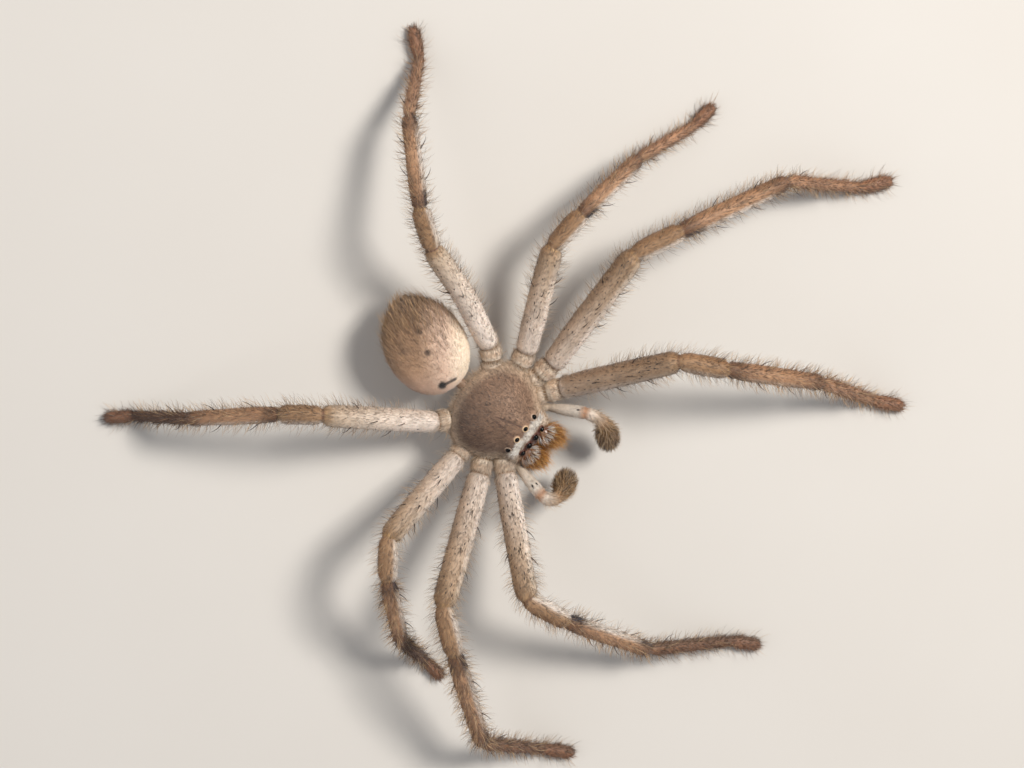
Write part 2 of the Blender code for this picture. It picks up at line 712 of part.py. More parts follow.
def stand_on_origin():
    """Move the root so that the model's box stands on the origin with its bottom centre."""
    bpy.context.view_layer.update()
    corners = []
    for item in SPIDER.objects:
        if item.type == "MESH":
            corners += [item.matrix_world @ vert.co for vert in item.data.vertices]
    low = [min(corner[i] for corner in corners) for i in range(3)]
    high = [max(corner[i] for corner in corners) for i in range(3)]
    ROOT.location = (-(low[0] + high[0]) / 2, -(low[1] + high[1]) / 2, -low[2])
    bpy.context.view_layer.update()


clear_scene()
SPIDER = bpy.data.collections.new("huntsman_spider")
bpy.context.scene.collection.children.link(SPIDER)
ROOT = bpy.data.objects.new("spider_root", None)
SPIDER.objects.link(ROOT)

grown = [leg(side_name, pair) for side_name in SIDES for pair in HIPS]
grown += [palp(side_name) for side_name in SIDES]
grown.append(pedicel())

core = front_body_core()
eyes = eye_places(core)
rooms = [ball(centre, radius + EYE_GAP) for centre, radius in eyes.values()]
rooms += [jaw(side, grow=GAP) for side in SIDES.values()]
front_body = combine(core, grown, rooms)
node("prosoma", front_body, Vector((0, SHIELD_CENTRE_Y, HIP_HEIGHT)), MAUVE_BROWN)

for eye_name, (centre, radius) in eyes.items():
    node(eye_name, ball(centre, radius), centre, EYE_BLACK, GLOSSY)

for side_name, side in SIDES.items():
    jaw_origin = head_frame() @ Vector((side * JAW_ROOT.x, JAW_ROOT.y, JAW_ROOT.z))
    node(f"chelicera_{side_name}", combine(jaw(side), jaw_locks(side)), jaw_origin, GOLD_BROWN)
    fang_origin = head_frame() @ Vector((side * JAW_TIP.x, JAW_TIP.y, JAW_TIP.z))
    node(f"fang_{side_name}", fang(side), fang_origin, DARK_BROWN, GLOSSY)

egg = abdomen_core()
hind_body = combine(egg, abdomen_locks(egg) + spinnerets(), [pedicel(grow=GAP)])
node("abdomen", hind_body, ABDOMEN_CENTRE, FAWN)

stand_on_origin()
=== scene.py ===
"""Looks of a huntsman spider that stands with its legs spread: skin, markings, coat, spines, eyes and fangs.

Sizes are in millimetres and angles in degrees, in the spider's own frame: it looks towards -Y, its left
side is at +X and the floor is at height 0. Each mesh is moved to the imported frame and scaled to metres
when it is made. Colours are written as display values from 0 to 255 and are made linear on use.
"""

import logging
import math
import random
from dataclasses import dataclass, field
from enum import Enum

import bpy
import numpy as np
from mathutils import Matrix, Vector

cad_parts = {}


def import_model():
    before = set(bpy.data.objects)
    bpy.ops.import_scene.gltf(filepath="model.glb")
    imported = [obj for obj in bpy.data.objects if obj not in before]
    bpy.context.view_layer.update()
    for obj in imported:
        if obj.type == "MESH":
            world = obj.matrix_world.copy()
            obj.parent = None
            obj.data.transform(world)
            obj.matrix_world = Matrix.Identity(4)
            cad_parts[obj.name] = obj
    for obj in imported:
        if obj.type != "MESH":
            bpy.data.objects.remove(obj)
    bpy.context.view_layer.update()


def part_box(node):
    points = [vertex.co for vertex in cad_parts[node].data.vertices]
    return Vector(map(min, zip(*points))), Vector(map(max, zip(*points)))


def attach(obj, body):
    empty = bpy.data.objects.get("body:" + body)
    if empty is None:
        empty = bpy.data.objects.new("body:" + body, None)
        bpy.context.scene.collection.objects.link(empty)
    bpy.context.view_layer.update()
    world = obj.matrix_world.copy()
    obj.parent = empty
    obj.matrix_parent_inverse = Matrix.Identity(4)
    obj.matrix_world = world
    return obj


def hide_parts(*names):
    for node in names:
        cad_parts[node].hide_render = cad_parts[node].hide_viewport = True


Array = np.ndarray
Material = bpy.types.Material
Item = bpy.types.Object
Node = bpy.types.Node
Point = tuple[float, float, float]
Colour = tuple[float, float, float]
Window = tuple[float, float, float, float]
Profile = tuple[tuple[float, float], ...]
MM = 0.001
FLOOR_CLEARANCE = 0.02
WHOLE_MAP: Window = (0.0, 0.0, 1.0, 1.0)
LOG = logging.getLogger("spider")


class Side(Enum):
    """The two sides of the animal, with the sign of their X."""

    LEFT = 1
    RIGHT = -1

    @property
    def label(self) -> str:
        """Name of the side as the frame's nodes write it."""
        return self.name.lower()


class Cover(Enum):
    """The finishes that the skin is made of, in the order of its material slots."""

    SHIELD = 0
    LIMB = 1
    HIND_BODY = 2
    JAW = 3
    EYE_RIM = 4


# Numbers and colours


def tone(red: float, green: float, blue: float) -> Array:
    """Make a display colour linear: each channel is its share of 255, bent by the display's curve.

    Args:
        red: Display red, from 0 to 255.
        green: Display green, from 0 to 255.
        blue: Display blue, from 0 to 255.

    Returns:
        The three linear channels.
    """
    share = np.array([red, green, blue]) / 255.0
    return np.where(share <= 0.04045, share / 12.92, ((share + 0.055) / 1.055) ** 2.4)


def unit(vectors: Array) -> Array:
    """Vectors divided by their own length along the last axis."""
    return vectors / np.maximum(np.linalg.norm(vectors, axis=-1, keepdims=True), 1e-9)


def ease(value: Array, low: float, high: float) -> Array:
    """Rise from 0 at low to 1 at high with no corner: 3 t squared less 2 t cubed."""
    share = np.clip((value - low) / (high - low), 0.0, 1.0)
    return share * share * (3 - 2 * share)


def blend(first: Array, second: Array, share: Array) -> Array:
    """Mix two colours, or fields of colours: the first times what is left, plus the second times the share.

    Args:
        first: Colour where the share is 0.
        second: Colour where the share is 1.
        share: Field of shares, with one axis less than the colours.

    Returns:
        The field of mixed colours.
    """
    share = np.asarray(share)[..., None]
    return first * (1 - share) + second * share


def turned(points: Array, degrees: float, pivot: Array) -> Array:
    """Turn points about the upright line through a pivot.

    Args:
        points: What is turned.
        degrees: How far, counted from X towards Y.
        pivot: A point of the line.

    Returns:
        The turned points.
    """
    angle = math.radians(degrees)
    rest = points - pivot
    x = rest[..., 0] * math.cos(angle) - rest[..., 1] * math.sin(angle)
    y = rest[..., 0] * math.sin(angle) + rest[..., 1] * math.cos(angle)
    return np.stack([x, y, rest[..., 2]], axis=-1) + pivot


def read_rows(where: Array, stations: Array, rows: Array) -> Array:
    """Read a table between its stations, each column by straight steps.

    Args:
        where: Places to read at.
        stations: Place of each row, rising.
        rows: The table.

    Returns:
        One row for each place.
    """
    return np.stack([np.interp(where, stations, rows[:, i]) for i in range(rows.shape[1])], axis=1)


def round_angles(columns: int) -> Array:
    """Even angles once round, without the last, which is the first again."""
    return 2 * math.pi * np.arange(columns) / columns


def ball_angles(rows: int, columns: int, pole: float) -> tuple[Array, Array]:
    """Angles of a ball's grid: the rows run from pole to pole, and the columns once round.

    Args:
        rows: Number of rows.
        columns: Number of columns.
        pole: Angle at which the first row stands off the pole.

    Returns:
        The polar angle and the angle round, at each point of the grid.
    """
    polar = np.linspace(pole, math.pi - pole, rows)[:, None] * np.ones((1, columns))
    return polar, round_angles(columns)[None] * np.ones((rows, 1))


def off_line(x: Array, y: Array, start: tuple[float, float], end: tuple[float, float]) -> tuple[Array, Array]:
    """Distance from a straight stretch seen from above: to the foot of the square, or to the nearer end.

    Args:
        x: First coordinate of the points.
        y: Second coordinate of the points.
        start: Where the stretch starts.
        end: Where it ends.

    Returns:
        The distances, and the share of the stretch at which each foot lies.
    """
    run = np.array(end) - np.array(start)
    share = np.clip(((x - start[0]) * run[0] + (y - start[1]) * run[1]) / (run @ run), 0, 1)
    return np.hypot(x - start[0] - share * run[0], y - start[1] - share * run[1]), share


# Grids of skin


@dataclass
class Roots:
    """Places where hair grows, one row of each array for each hair."""

    point: Array
    normal: Array
    lie: Array
    tint: Array
    place: Array
    dots: Array
    uv: Array


@dataclass
class Patch:
    """A closed skin as a grid: rows run from one end to the other, and columns run round it and wrap.

    Place holds the coordinates that patterns read, dots holds how strongly the dark dots show, and lie
    is the direction in which the coat lies.
    """

    points: Array
    tint: Array
    lie: Array
    place: Array
    dots: Array
    cover: Cover
    window: Window = WHOLE_MAP

    def normals(self) -> Array:
        """Outward normals: the cross of the steps round and along the grid, turned away from its middle.

        Returns:
            One unit normal for each point.
        """
        round_step = np.roll(self.points, -1, axis=1) - np.roll(self.points, 1, axis=1)
        along_step = np.gradient(self.points, axis=0)
        normal = unit(np.cross(round_step, along_step))
        return normal * self.winding(normal)

    def winding(self, normal: Array) -> float:
        """1 where the grid's own normals point outwards, and -1 where they point inwards."""
        outward = self.points - self.points.mean(axis=1, keepdims=True)
        return 1.0 if (normal * outward).sum() > 0 else -1.0

    def sample(self, per_square_mm: float, weight: Array, chance: np.random.Generator) -> Roots:
        """Scatter roots over the grid: a cell is drawn by its area times its weight.

        Args:
            per_square_mm: Hairs on each square millimetre where the weight is 1.
            weight: Field of the grid's own shape.
            chance: Source of the random draws.

        Returns:
            The roots, with every field read between the grid's points.
        """
        right = np.roll(self.points, -1, axis=1)[:-1] - self.points[:-1]
        down = self.points[1:] - self.points[:-1]
        area = np.linalg.norm(np.cross(right, down), axis=-1) * weight[:-1]
        share = area.ravel() / area.sum()
        count = int(area.sum() * per_square_mm)
        row, column = np.divmod(chance.choice(share.size, size=count, p=share), self.points.shape[1])
        return self.roots_at(row + chance.random(count), column + chance.random(count))

    def roots_at(self, row: Array, column: Array) -> Roots:
        """Roots at fractional rows and columns, with every field read between the grid's points.

        Args:
            row: Place along the grid, in rows.
            column: Place round the grid, in columns.

        Returns:
            The roots, with their place on the OFBake map.
        """
        rows, columns = self.points.shape[:2]
        top = np.minimum(row.astype(int), rows - 2)
        start = column.astype(int) % columns
        beside = (start + 1) % columns
        u = (column % 1.0)[:, None]
        v = (row - top)[:, None]

        def read(values: Array) -> Array:
            """Read a field between the four grid points round each root, by the shares u and v.

            Args:
                values: The field, with its numbers along the last axis.

            Returns:
                One row for each root.
            """
            upper = values[top, start] * (1 - u) + values[top, beside] * u
            lower = values[top + 1, start] * (1 - u) + values[top + 1, beside] * u
            return upper * (1 - v) + lower * v

        left, low, right, high = self.window
        uv = np.stack([left + (right - left) * (start + u[:, 0]) / columns,
                       low + (high - low) * row / (rows - 1)], axis=1)
        return Roots(read(self.points), unit(read(self.normals())), read(self.lie), read(self.tint),
                     read(self.place), read(self.dots[..., None])[:, 0], uv)


@dataclass
class Sweep:
    """A path of straight runs with rounded corners, and the frame that is carried along it.

    The runs are read every step and averaged with bell-shaped weights, which rounds each corner over
    about the softening length. One run may bow to the front by the square of a sine. Across is square
    to the path and level, and points to the front side.
    """

    joints: Array
    side: int
    soften: float = 0.4
    step: float = 0.05
    bow: tuple[int, float] = (0, 0.0)

    def __post_init__(self) -> None:
        """Work out the smoothed line once."""
        lengths = np.linalg.norm(np.diff(self.joints, axis=0), axis=1)
        self.knots = np.concatenate([[0.0], np.cumsum(lengths)])
        pad = 4 * self.soften
        first = self.joints[0] - unit(self.joints[1] - self.joints[0]) * pad
        last = self.joints[-1] + unit(self.joints[-1] - self.joints[-2]) * pad
        stations = np.concatenate([[-pad], self.knots, [self.knots[-1] + pad]])
        corners = np.vstack([first, self.joints, last])
        self.fine = np.arange(-pad, self.knots[-1] + pad, self.step)
        line = read_rows(self.fine, stations, corners)
        reach = int(3 * self.soften / self.step)
        bell = np.exp(-0.5 * (np.arange(-reach, reach + 1) * self.step / self.soften) ** 2)
        bell /= bell.sum()
        padded = np.pad(line, ((reach, reach), (0, 0)), mode="reflect", reflect_type="odd")
        self.line = np.stack([np.convolve(padded[:, i], bell, mode="valid") for i in range(3)], axis=1)
        run, height = self.bow
        share = np.clip((self.fine - self.knots[run]) / (self.knots[run + 1] - self.knots[run]), 0, 1)
        axis = unit(self.joints[run + 1] - self.joints[run])
        front = unit(np.cross(axis, [0.0, 0.0, 1.0])) * self.side
        self.line = self.line + front * (height * np.sin(math.pi * share) ** 2)[:, None]
        self.axes = unit(np.gradient(self.line, axis=0))

    def at(self, along: Array) -> tuple[Array, Array, Array, Array]:
        """Read the carried frame.

        Args:
            along: Distances along the path.

        Returns:
            Centre, and the directions ahead, to the front side and up, at each distance.
        """
        centre = read_rows(along, self.fine, self.line)
        axis = unit(read_rows(along, self.fine, self.axes))
        across = unit(np.cross(axis, [0.0, 0.0, 1.0]))
        return centre, axis, across * self.side, np.cross(across, axis)

    def tube(self, along: Array, wide: Array, deep: Array, columns: int) -> tuple[Array, Array, Array]:
        """Carry an ellipse along the path.

        A point is the centre, plus front times the sine of its angle times the half width, plus up times
        the cosine times the half depth. Angle 0 is on top and a quarter turn is in front.

        Args:
            along: Distances of the rows.
            wide: Half width at each row.
            deep: Half depth at each row.
            columns: Points round each row.

        Returns:
            The points, the path's direction at each point and the angles of the columns.
        """
        centre, axis, front, up = self.at(along)
        angle = round_angles(columns)
        sine = np.sin(angle)[None, :, None]
        cosine = np.cos(angle)[None, :, None]
        points = centre[:, None] + front[:, None] * sine * wide[:, None, None]
        points = points + up[:, None] * cosine * deep[:, None, None]
        return points, np.repeat(axis[:, None], columns, axis=1), angle


def tube_place(along: Array, angle: Array, girth: float, shift: float) -> Array:
    """Pattern coordinates of a tube: its length, and a circle round it so that no seam shows.

    Args:
        along: Distances of the rows.
        angle: Angles of the columns.
        girth: Radius of the circle.
        shift: Sets one tube's pattern apart from another's.

    Returns:
        The coordinates at each point of the grid.
    """
    ring = np.stack([np.cos(angle) * girth, np.sin(angle) * girth + shift], axis=1)
    place = np.empty((along.size, angle.size, 3))
    place[..., 0] = along[:, None]
    place[..., 1:] = ring[None]
    return place


# Meshes


def with_alpha(tint: Array) -> Array:
    """Colours with a full fourth channel, as a mesh's colour field holds them."""
    return np.concatenate([tint, np.ones((len(tint), 1))], axis=1)


@dataclass
class Workshop:
    """Puts arrays in the spider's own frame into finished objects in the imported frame."""

    offset: Array

    def to_frame(self, points: Array) -> Array:
        """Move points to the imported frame, none of them under the floor.

        Args:
            points: Points in millimetres in the spider's own frame.

        Returns:
            The points in metres.
        """
        moved = points.reshape(-1, 3) + self.offset
        moved[:, 2] = np.maximum(moved[:, 2], FLOOR_CLEARANCE)
        return moved * MM

    def mesh(self, name: str, points: Array, corners: Array, sizes: Array, materials: list[Material],
             values: dict[str, Array], uv: Array | None = None, slots: Array | None = None) -> Item:
        """Make one object from arrays.

        Args:
            name: Name of the piece.
            points: Vertices in millimetres.
            corners: Vertex number of each face corner, face after face.
            sizes: Number of corners of each face.
            materials: Materials in the order of the slots.
            values: Fields on the vertices, with one, three or four numbers each.
            uv: One pair for each face corner.
            slots: Material slot of each face.

        Returns:
            The linked object, which rides on the root body.
        """
        mesh = bpy.data.meshes.new(name)
        vertices = self.to_frame(points)
        mesh.vertices.add(len(vertices))
        mesh.vertices.foreach_set("co", vertices.astype(np.float32).ravel())
        mesh.loops.add(len(corners))
        mesh.loops.foreach_set("vertex_index", corners.astype(np.int32))
        mesh.polygons.add(len(sizes))
        starts = np.concatenate([[0], np.cumsum(sizes)[:-1]])
        mesh.polygons.foreach_set("loop_start", starts.astype(np.int32))
        if slots is not None:
            mesh.polygons.foreach_set("material_index", slots.astype(np.int32))
        mesh.update(calc_edges=True)
        for label, numbers in values.items():
            kind, key = {1: ("FLOAT", "value"), 3: ("FLOAT_VECTOR", "vector"),
                         4: ("FLOAT_COLOR", "color")}[numbers.shape[1]]
            layer = mesh.attributes.new(label, kind, "POINT")
            layer.data.foreach_set(key, numbers.astype(np.float32).ravel())
        if uv is not None:
            layer = mesh.uv_layers.new(name="OFBake")
            layer.uv.foreach_set("vector", uv.astype(np.float32).ravel())
        mesh.shade_smooth()
        for material in materials:
            mesh.materials.append(material)
        item = bpy.data.objects.new(name, mesh)
        bpy.context.scene.collection.objects.link(item)
        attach(item, "root")
        LOG.info("%s: %d faces", name, len(sizes))
        return item

    def patches(self, name: str, patches: list[Patch], materials: list[Material]) -> Item:
        """Join grids into one object: each has its quads, and a fan to a middle point at either end.

        Args:
            name: Name of the piece.
            patches: The grids.
            materials: Materials in the order of the slots.

        Returns:
            The object.
        """
        points, corners, sizes, slots, uvs = [], [], [], [], []
        fields = {"tint": [], "place": [], "dots": []}
        start = 0
        for patch in patches:
            rows, columns = patch.points.shape[:2]
            caps = rows * columns + np.arange(2)
            ahead = np.arange(columns)[:, None]
            row = np.arange(rows - 1)[:, None, None] + np.array([0, 0, 1, 1])
            column = ahead[None] + np.array([0, 1, 1, 0])
            quads = (row * columns + column % columns).reshape(-1, 4)
            end_row = np.repeat([[[0, 0, 0]], [[rows - 1] * 3]], columns, axis=1)
            end_column = np.stack([ahead + [1.0, 0.0, 0.5], ahead + [0.0, 1.0, 0.5]])
            fans = end_row * columns + end_column.astype(int) % columns
            fans[..., 2] = caps[:, None]
            fans = fans.reshape(-1, 3)
            left, low, right, high = patch.window
            u = np.concatenate([np.broadcast_to(column, (rows - 1, columns, 4)).ravel(), end_column.ravel()])
            v = np.concatenate([np.broadcast_to(row, (rows - 1, columns, 4)).ravel(), end_row.ravel()])
            u, v = left + (right - left) * (u / columns), low + (high - low) * (v / (rows - 1))
            quad_uv, fan_uv = np.split(np.stack([u, v], axis=1), [quads.size])
            round_step = np.roll(patch.points, -1, axis=1) - patch.points
            if patch.winding(unit(np.cross(round_step, np.gradient(patch.points, axis=0)))) < 0:
                quads = quads[:, ::-1]
                fans = fans[:, ::-1]
                quad_uv = quad_uv.reshape(-1, 4, 2)[:, ::-1].reshape(-1, 2)
                fan_uv = fan_uv.reshape(-1, 3, 2)[:, ::-1].reshape(-1, 2)
            ends = [patch.points[0].mean(axis=0), patch.points[-1].mean(axis=0)]
            points.append(np.concatenate([patch.points.reshape(-1, 3), ends]))
            found = {"tint": patch.tint, "place": patch.place, "dots": patch.dots[..., None]}
            for label, value in found.items():
                fields[label].append(np.concatenate([value.reshape(-1, value.shape[-1]), value[[0, -1], 0]]))
            corners += [quads.ravel() + start, fans.ravel() + start]
            sizes += [np.full(len(quads), 4), np.full(len(fans), 3)]
            slots.append(np.full(len(quads) + len(fans), patch.cover.value))
            uvs += [quad_uv, fan_uv]
            start += rows * columns + 2
        values = {label: np.concatenate(parts) for label, parts in fields.items()}
        values["tint"] = with_alpha(values["tint"])
        return self.mesh(name, np.concatenate(points), np.concatenate(corners), np.concatenate(sizes),
                         materials, values, np.concatenate(uvs), np.concatenate(slots))


# Hair

# Power of what is left of the length by which tufts, thorns and hooks narrow to their tips
TAPER = 0.7
# Shares of a tuft's length at which its rings stand, for short hair, for hair that curves and for long hair
SHORT_STOPS = (0.0, 0.55, 1.0)
CURVED_STOPS = (0.0, 0.4, 0.75, 1.0)
LONG_STOPS = (0.0, 0.35, 0.7, 1.0)


@dataclass(frozen=True)
class Hair:
    """A kind of hair or tuft: its size, its stand and its colour.

    Lift is the angle at which it leaves the skin, bend is how far it curves over by its tip, and yaw is
    how far it may stray from the lie. Own is the share of its own colour over the skin's tint.
    """

    length: float
    width: float
    lift: float
    bend: float = 0.6
    yaw: float = 14.0
    vary: float = 0.3
    stops: tuple[float, ...] = SHORT_STOPS
    colour: Colour | None = None
    own: float = 0.0
    root_shade: float = 0.72
    tip_shade: float = 1.12
    uneven: float = 0.22
    flat: float = 0.45


@dataclass
class Coat:
    """One coat piece: tufts of three-sided, tapered mesh, each closed at its sunk root."""

    name: str
    slot: str
    seed: int
    material: Material
    sunk: float = 0.06
    ceiling: float = 13.65
    patch_size: float = 0.003
    bundles: list[dict[str, Array]] = field(default_factory=list)

    def __post_init__(self) -> None:
        """Start the coat's own random draws."""
        self.chance = np.random.default_rng(self.seed)

    def cover(self, patch: Patch, per_square_mm: float, weight: Array, hair: Hair) -> None:
        """Scatter one kind of tuft over a grid.

        Args:
            patch: The grid.
            per_square_mm: Tufts on each square millimetre where the weight is 1.
            weight: How thickly they stand, a field of the grid's shape.
            hair: The kind of tuft.
        """
        self.grow(patch.sample(per_square_mm, weight, self.chance), hair)

    def grow(self, roots: Roots, hair: Hair) -> None:
        """Grow one tuft from each root.

        The path's run along the skin is cos(lift) t + (1 - cos(lift)) bend t squared / 2, and its rise off
        the skin is sin(lift) (t - bend t squared / 2), both times the tuft's length. The width falls from
        its full size at the root to nothing at the tip.

        Args:
            roots: Where the tufts grow.
            hair: The kind of tuft.
        """
        count = len(roots.point)
        if not count:
            return
        draw = self.chance.uniform
        yaw = np.radians(hair.yaw) * draw(-1, 1, count)
        lift = np.radians(hair.lift) * (1 + hair.vary * draw(-1, 1, count))
        length = hair.length * (1 + hair.vary * draw(-1, 1, count))
        along = unit(roots.lie - roots.normal * (roots.lie * roots.normal).sum(1, keepdims=True))
        across = np.cross(roots.normal, along)
        along = along * np.cos(yaw)[:, None] + across * np.sin(yaw)[:, None]
        t = np.array(hair.stops)
        curve = hair.bend * t ** 2 / 2
        run = np.cos(lift)[:, None] * t + (1 - np.cos(lift))[:, None] * curve
        rise = np.sin(lift)[:, None] * (t - curve)
        top = roots.point[:, 2] + length * (along[:, 2] * run[:, -1] + roots.normal[:, 2] * rise[:, -1])
        over_top = np.maximum(top - self.ceiling, 0) / np.maximum(top - roots.point[:, 2], 0.05)
        length = length * np.clip(1 - over_top, 0.15, 1)
        path = roots.point[:, None] + length[:, None, None] * (
            along[:, None] * run[..., None] + roots.normal[:, None] * rise[..., None])
        heading = unit(np.gradient(path, axis=1))
        path[:, 0] -= roots.normal * self.sunk + along * self.sunk / 2
        side = unit(np.cross(heading, roots.normal[:, None] + 1e-4))
        over = np.cross(side, heading)
        girth = hair.width / 2 * (1 - t) ** TAPER
        turn = np.radians([90.0, 210.0, 330.0])
        ring = side[:, :-1, None] * np.cos(turn)[:, None]
        ring = ring + over[:, :-1, None] * np.sin(turn)[:, None] * hair.flat
        ring = path[:, :-1, None] + ring * girth[:-1, None, None]
        points = np.concatenate([ring.reshape(count, -1, 3), path[:, -1:]], axis=1)
        tint = roots.tint
        if hair.colour is not None:
            tint = tint * (1 - hair.own) + tone(*hair.colour) * hair.own
        light = 1 + hair.uneven * draw(-1, 1, (count, 1, 1))
        shade = hair.root_shade + (hair.tip_shade - hair.root_shade) * t
        shade = np.concatenate([np.repeat(shade[:-1], 3), shade[-1:]])
        colour = tint[:, None] * light * shade[:, None]
        self.bundles.append({"points": points, "tint": colour, "roots": roots, "stops": t})

    def faces(self, stops: int) -> Array:
        """Triangles of one tuft: a band of six for each step, three at the tip and one under the root.

        Args:
            stops: Number of stops along the tuft, its tip included.

        Returns:
            Three point numbers for each triangle.
        """
        triangles = [(0, 2, 1)]
        for low in range(0, 3 * (stops - 2), 3):
            for i, j in ((0, 1), (1, 2), (2, 0)):
                triangles += [(low + i, low + j, low + j + 3), (low + i, low + j + 3, low + i + 3)]
        top = 3 * (stops - 2)
        triangles += [(top + i, top + j, top + 3) for i, j in ((0, 1), (1, 2), (2, 0))]
        return np.array(triangles)

    def build(self, shop: Workshop) -> Item:
        """Make the coat's object, with each tuft's patch of the OFBake map at its root's place.

        Args:
            shop: Makes the object.

        Returns:
            The object.
        """
        points, tints, places, dots, corners, uvs = [], [], [], [], [], []
        start = 0
        for bundle in self.bundles:
            count, size = bundle["points"].shape[:2]
            roots = bundle["roots"]
            faces = self.faces(len(bundle["stops"]))
            corners.append((start + size * np.arange(count)[:, None, None] + faces[None]).ravel())
            points.append(bundle["points"].reshape(-1, 3))
            tints.append(bundle["tint"].reshape(-1, 3))
            places.append(np.repeat(roots.place, size, axis=0))
            dots.append(np.repeat(roots.dots, size))
            ring = np.minimum(np.arange(size) // 3, len(bundle["stops"]) - 1)
            local = np.stack([(np.arange(size) % 3) / 2, bundle["stops"][ring]], axis=1) - 0.5
            spot = roots.uv[:, None] * (1 - self.patch_size) + self.patch_size / 2
            uvs.append((spot[:, None] + local[faces][None] * self.patch_size).reshape(-1, 2))
            start += count * size
        corners = np.concatenate(corners)
        values = {"tint": with_alpha(np.concatenate(tints)), "place": np.concatenate(places),
                  "dots": np.concatenate(dots)[:, None]}
        item = shop.mesh(self.name, np.concatenate(points), corners, np.full(len(corners) // 3, 3),
                         [self.material], values, np.concatenate(uvs))
        return item


# Shader groups and finishes


def paint(colour: Colour) -> tuple[float, ...]:
    """A display colour as a shader's input takes it: linear, with a full fourth channel."""
    return (*tone(*colour), 1)


@dataclass(frozen=True)
class Group:
    """A shader node tree under construction, with a short way to add and join its nodes."""

    tree: bpy.types.NodeTree

    @classmethod
    def new(cls, name: str, inputs: dict[str, tuple[str, object]], outputs: dict[str, str]) -> "Group":
        """Make an empty group with the named sockets.

        Args:
            name: Name of the group.
            inputs: Socket type and default of each input.
            outputs: Socket type of each output.

        Returns:
            The group.
        """
        tree = bpy.data.node_groups.new(name, "ShaderNodeTree")
        for label, (kind, value) in inputs.items():
            socket = tree.interface.new_socket(label, in_out="INPUT", socket_type=kind)
            socket.default_value = value
        for label, kind in outputs.items():
            tree.interface.new_socket(label, in_out="OUTPUT", socket_type=kind)
        return cls(tree)

    def put(self, node: Node, inputs: dict[object, object]) -> None:
        """Set a node's inputs, or join those whose value is a socket.

        Args:
            node: The node.
            inputs: Value or socket of each input, by the input's name or number.
        """
        for key, value in inputs.items():
            if isinstance(value, bpy.types.NodeSocket):
                self.tree.links.new(value, node.inputs[key])
            else:
                node.inputs[key].default_value = value

    def add(self, kind: str, inputs: dict[object, object] | None = None, **settings: object) -> Node:
        """Add a node.

        Args:
            kind: Type of the node.
            inputs: Value or socket of each input, by the input's name or number.
            settings: Properties of the node, set before its inputs.

        Returns:
            The node.
        """
        node = self.tree.nodes.new(kind)
        for key, value in settings.items():
            setattr(node, key, value)
        self.put(node, inputs or {})
        return node

    def stretch(self, value: object, first: object, last: object, low: object = 0.0,
                high: object = 1.0) -> bpy.types.NodeSocket:
        """Add a node that carries a value evenly from one range to another.

        Args:
            value: Socket of the value.
            first: Result where the value is low.
            last: Result where the value is high.
            low: Start of the value's range.
            high: End of the value's range.

        Returns:
            The socket of the result.
        """
        return self.add("ShaderNodeMapRange", {"Value": value, "From Min": low, "From Max": high,
                                               "To Min": first, "To Max": last}).outputs[0]

    def mix(self, share: object, first: object, second: object) -> bpy.types.NodeSocket:
        """Add a node that mixes two colours.

        Args:
            share: Socket of the second colour's share.
            first: Colour, or its socket, where the share is 0.
            second: Colour, or its socket, where the share is 1.

        Returns:
            The socket of the mixed colour.
        """
        return self.add("ShaderNodeMix", {"Factor": share, "A": first, "B": second},
                        data_type="RGBA").outputs["Result"]


def start_material(name: str, inputs: dict[str, object]) -> tuple[Material, Group, Node]:
    """Start a material on one Principled shader.

    Args:
        name: Name of the material.
        inputs: Values of the shader's inputs.

    Returns:
        The material, its node tree and its shader.
    """
    material = bpy.data.materials.new(name)
    material.use_nodes = True
    group = Group(material.node_tree)
    shader = material.node_tree.nodes["Principled BSDF"]
    group.put(shader, inputs)
    return material, group, shader


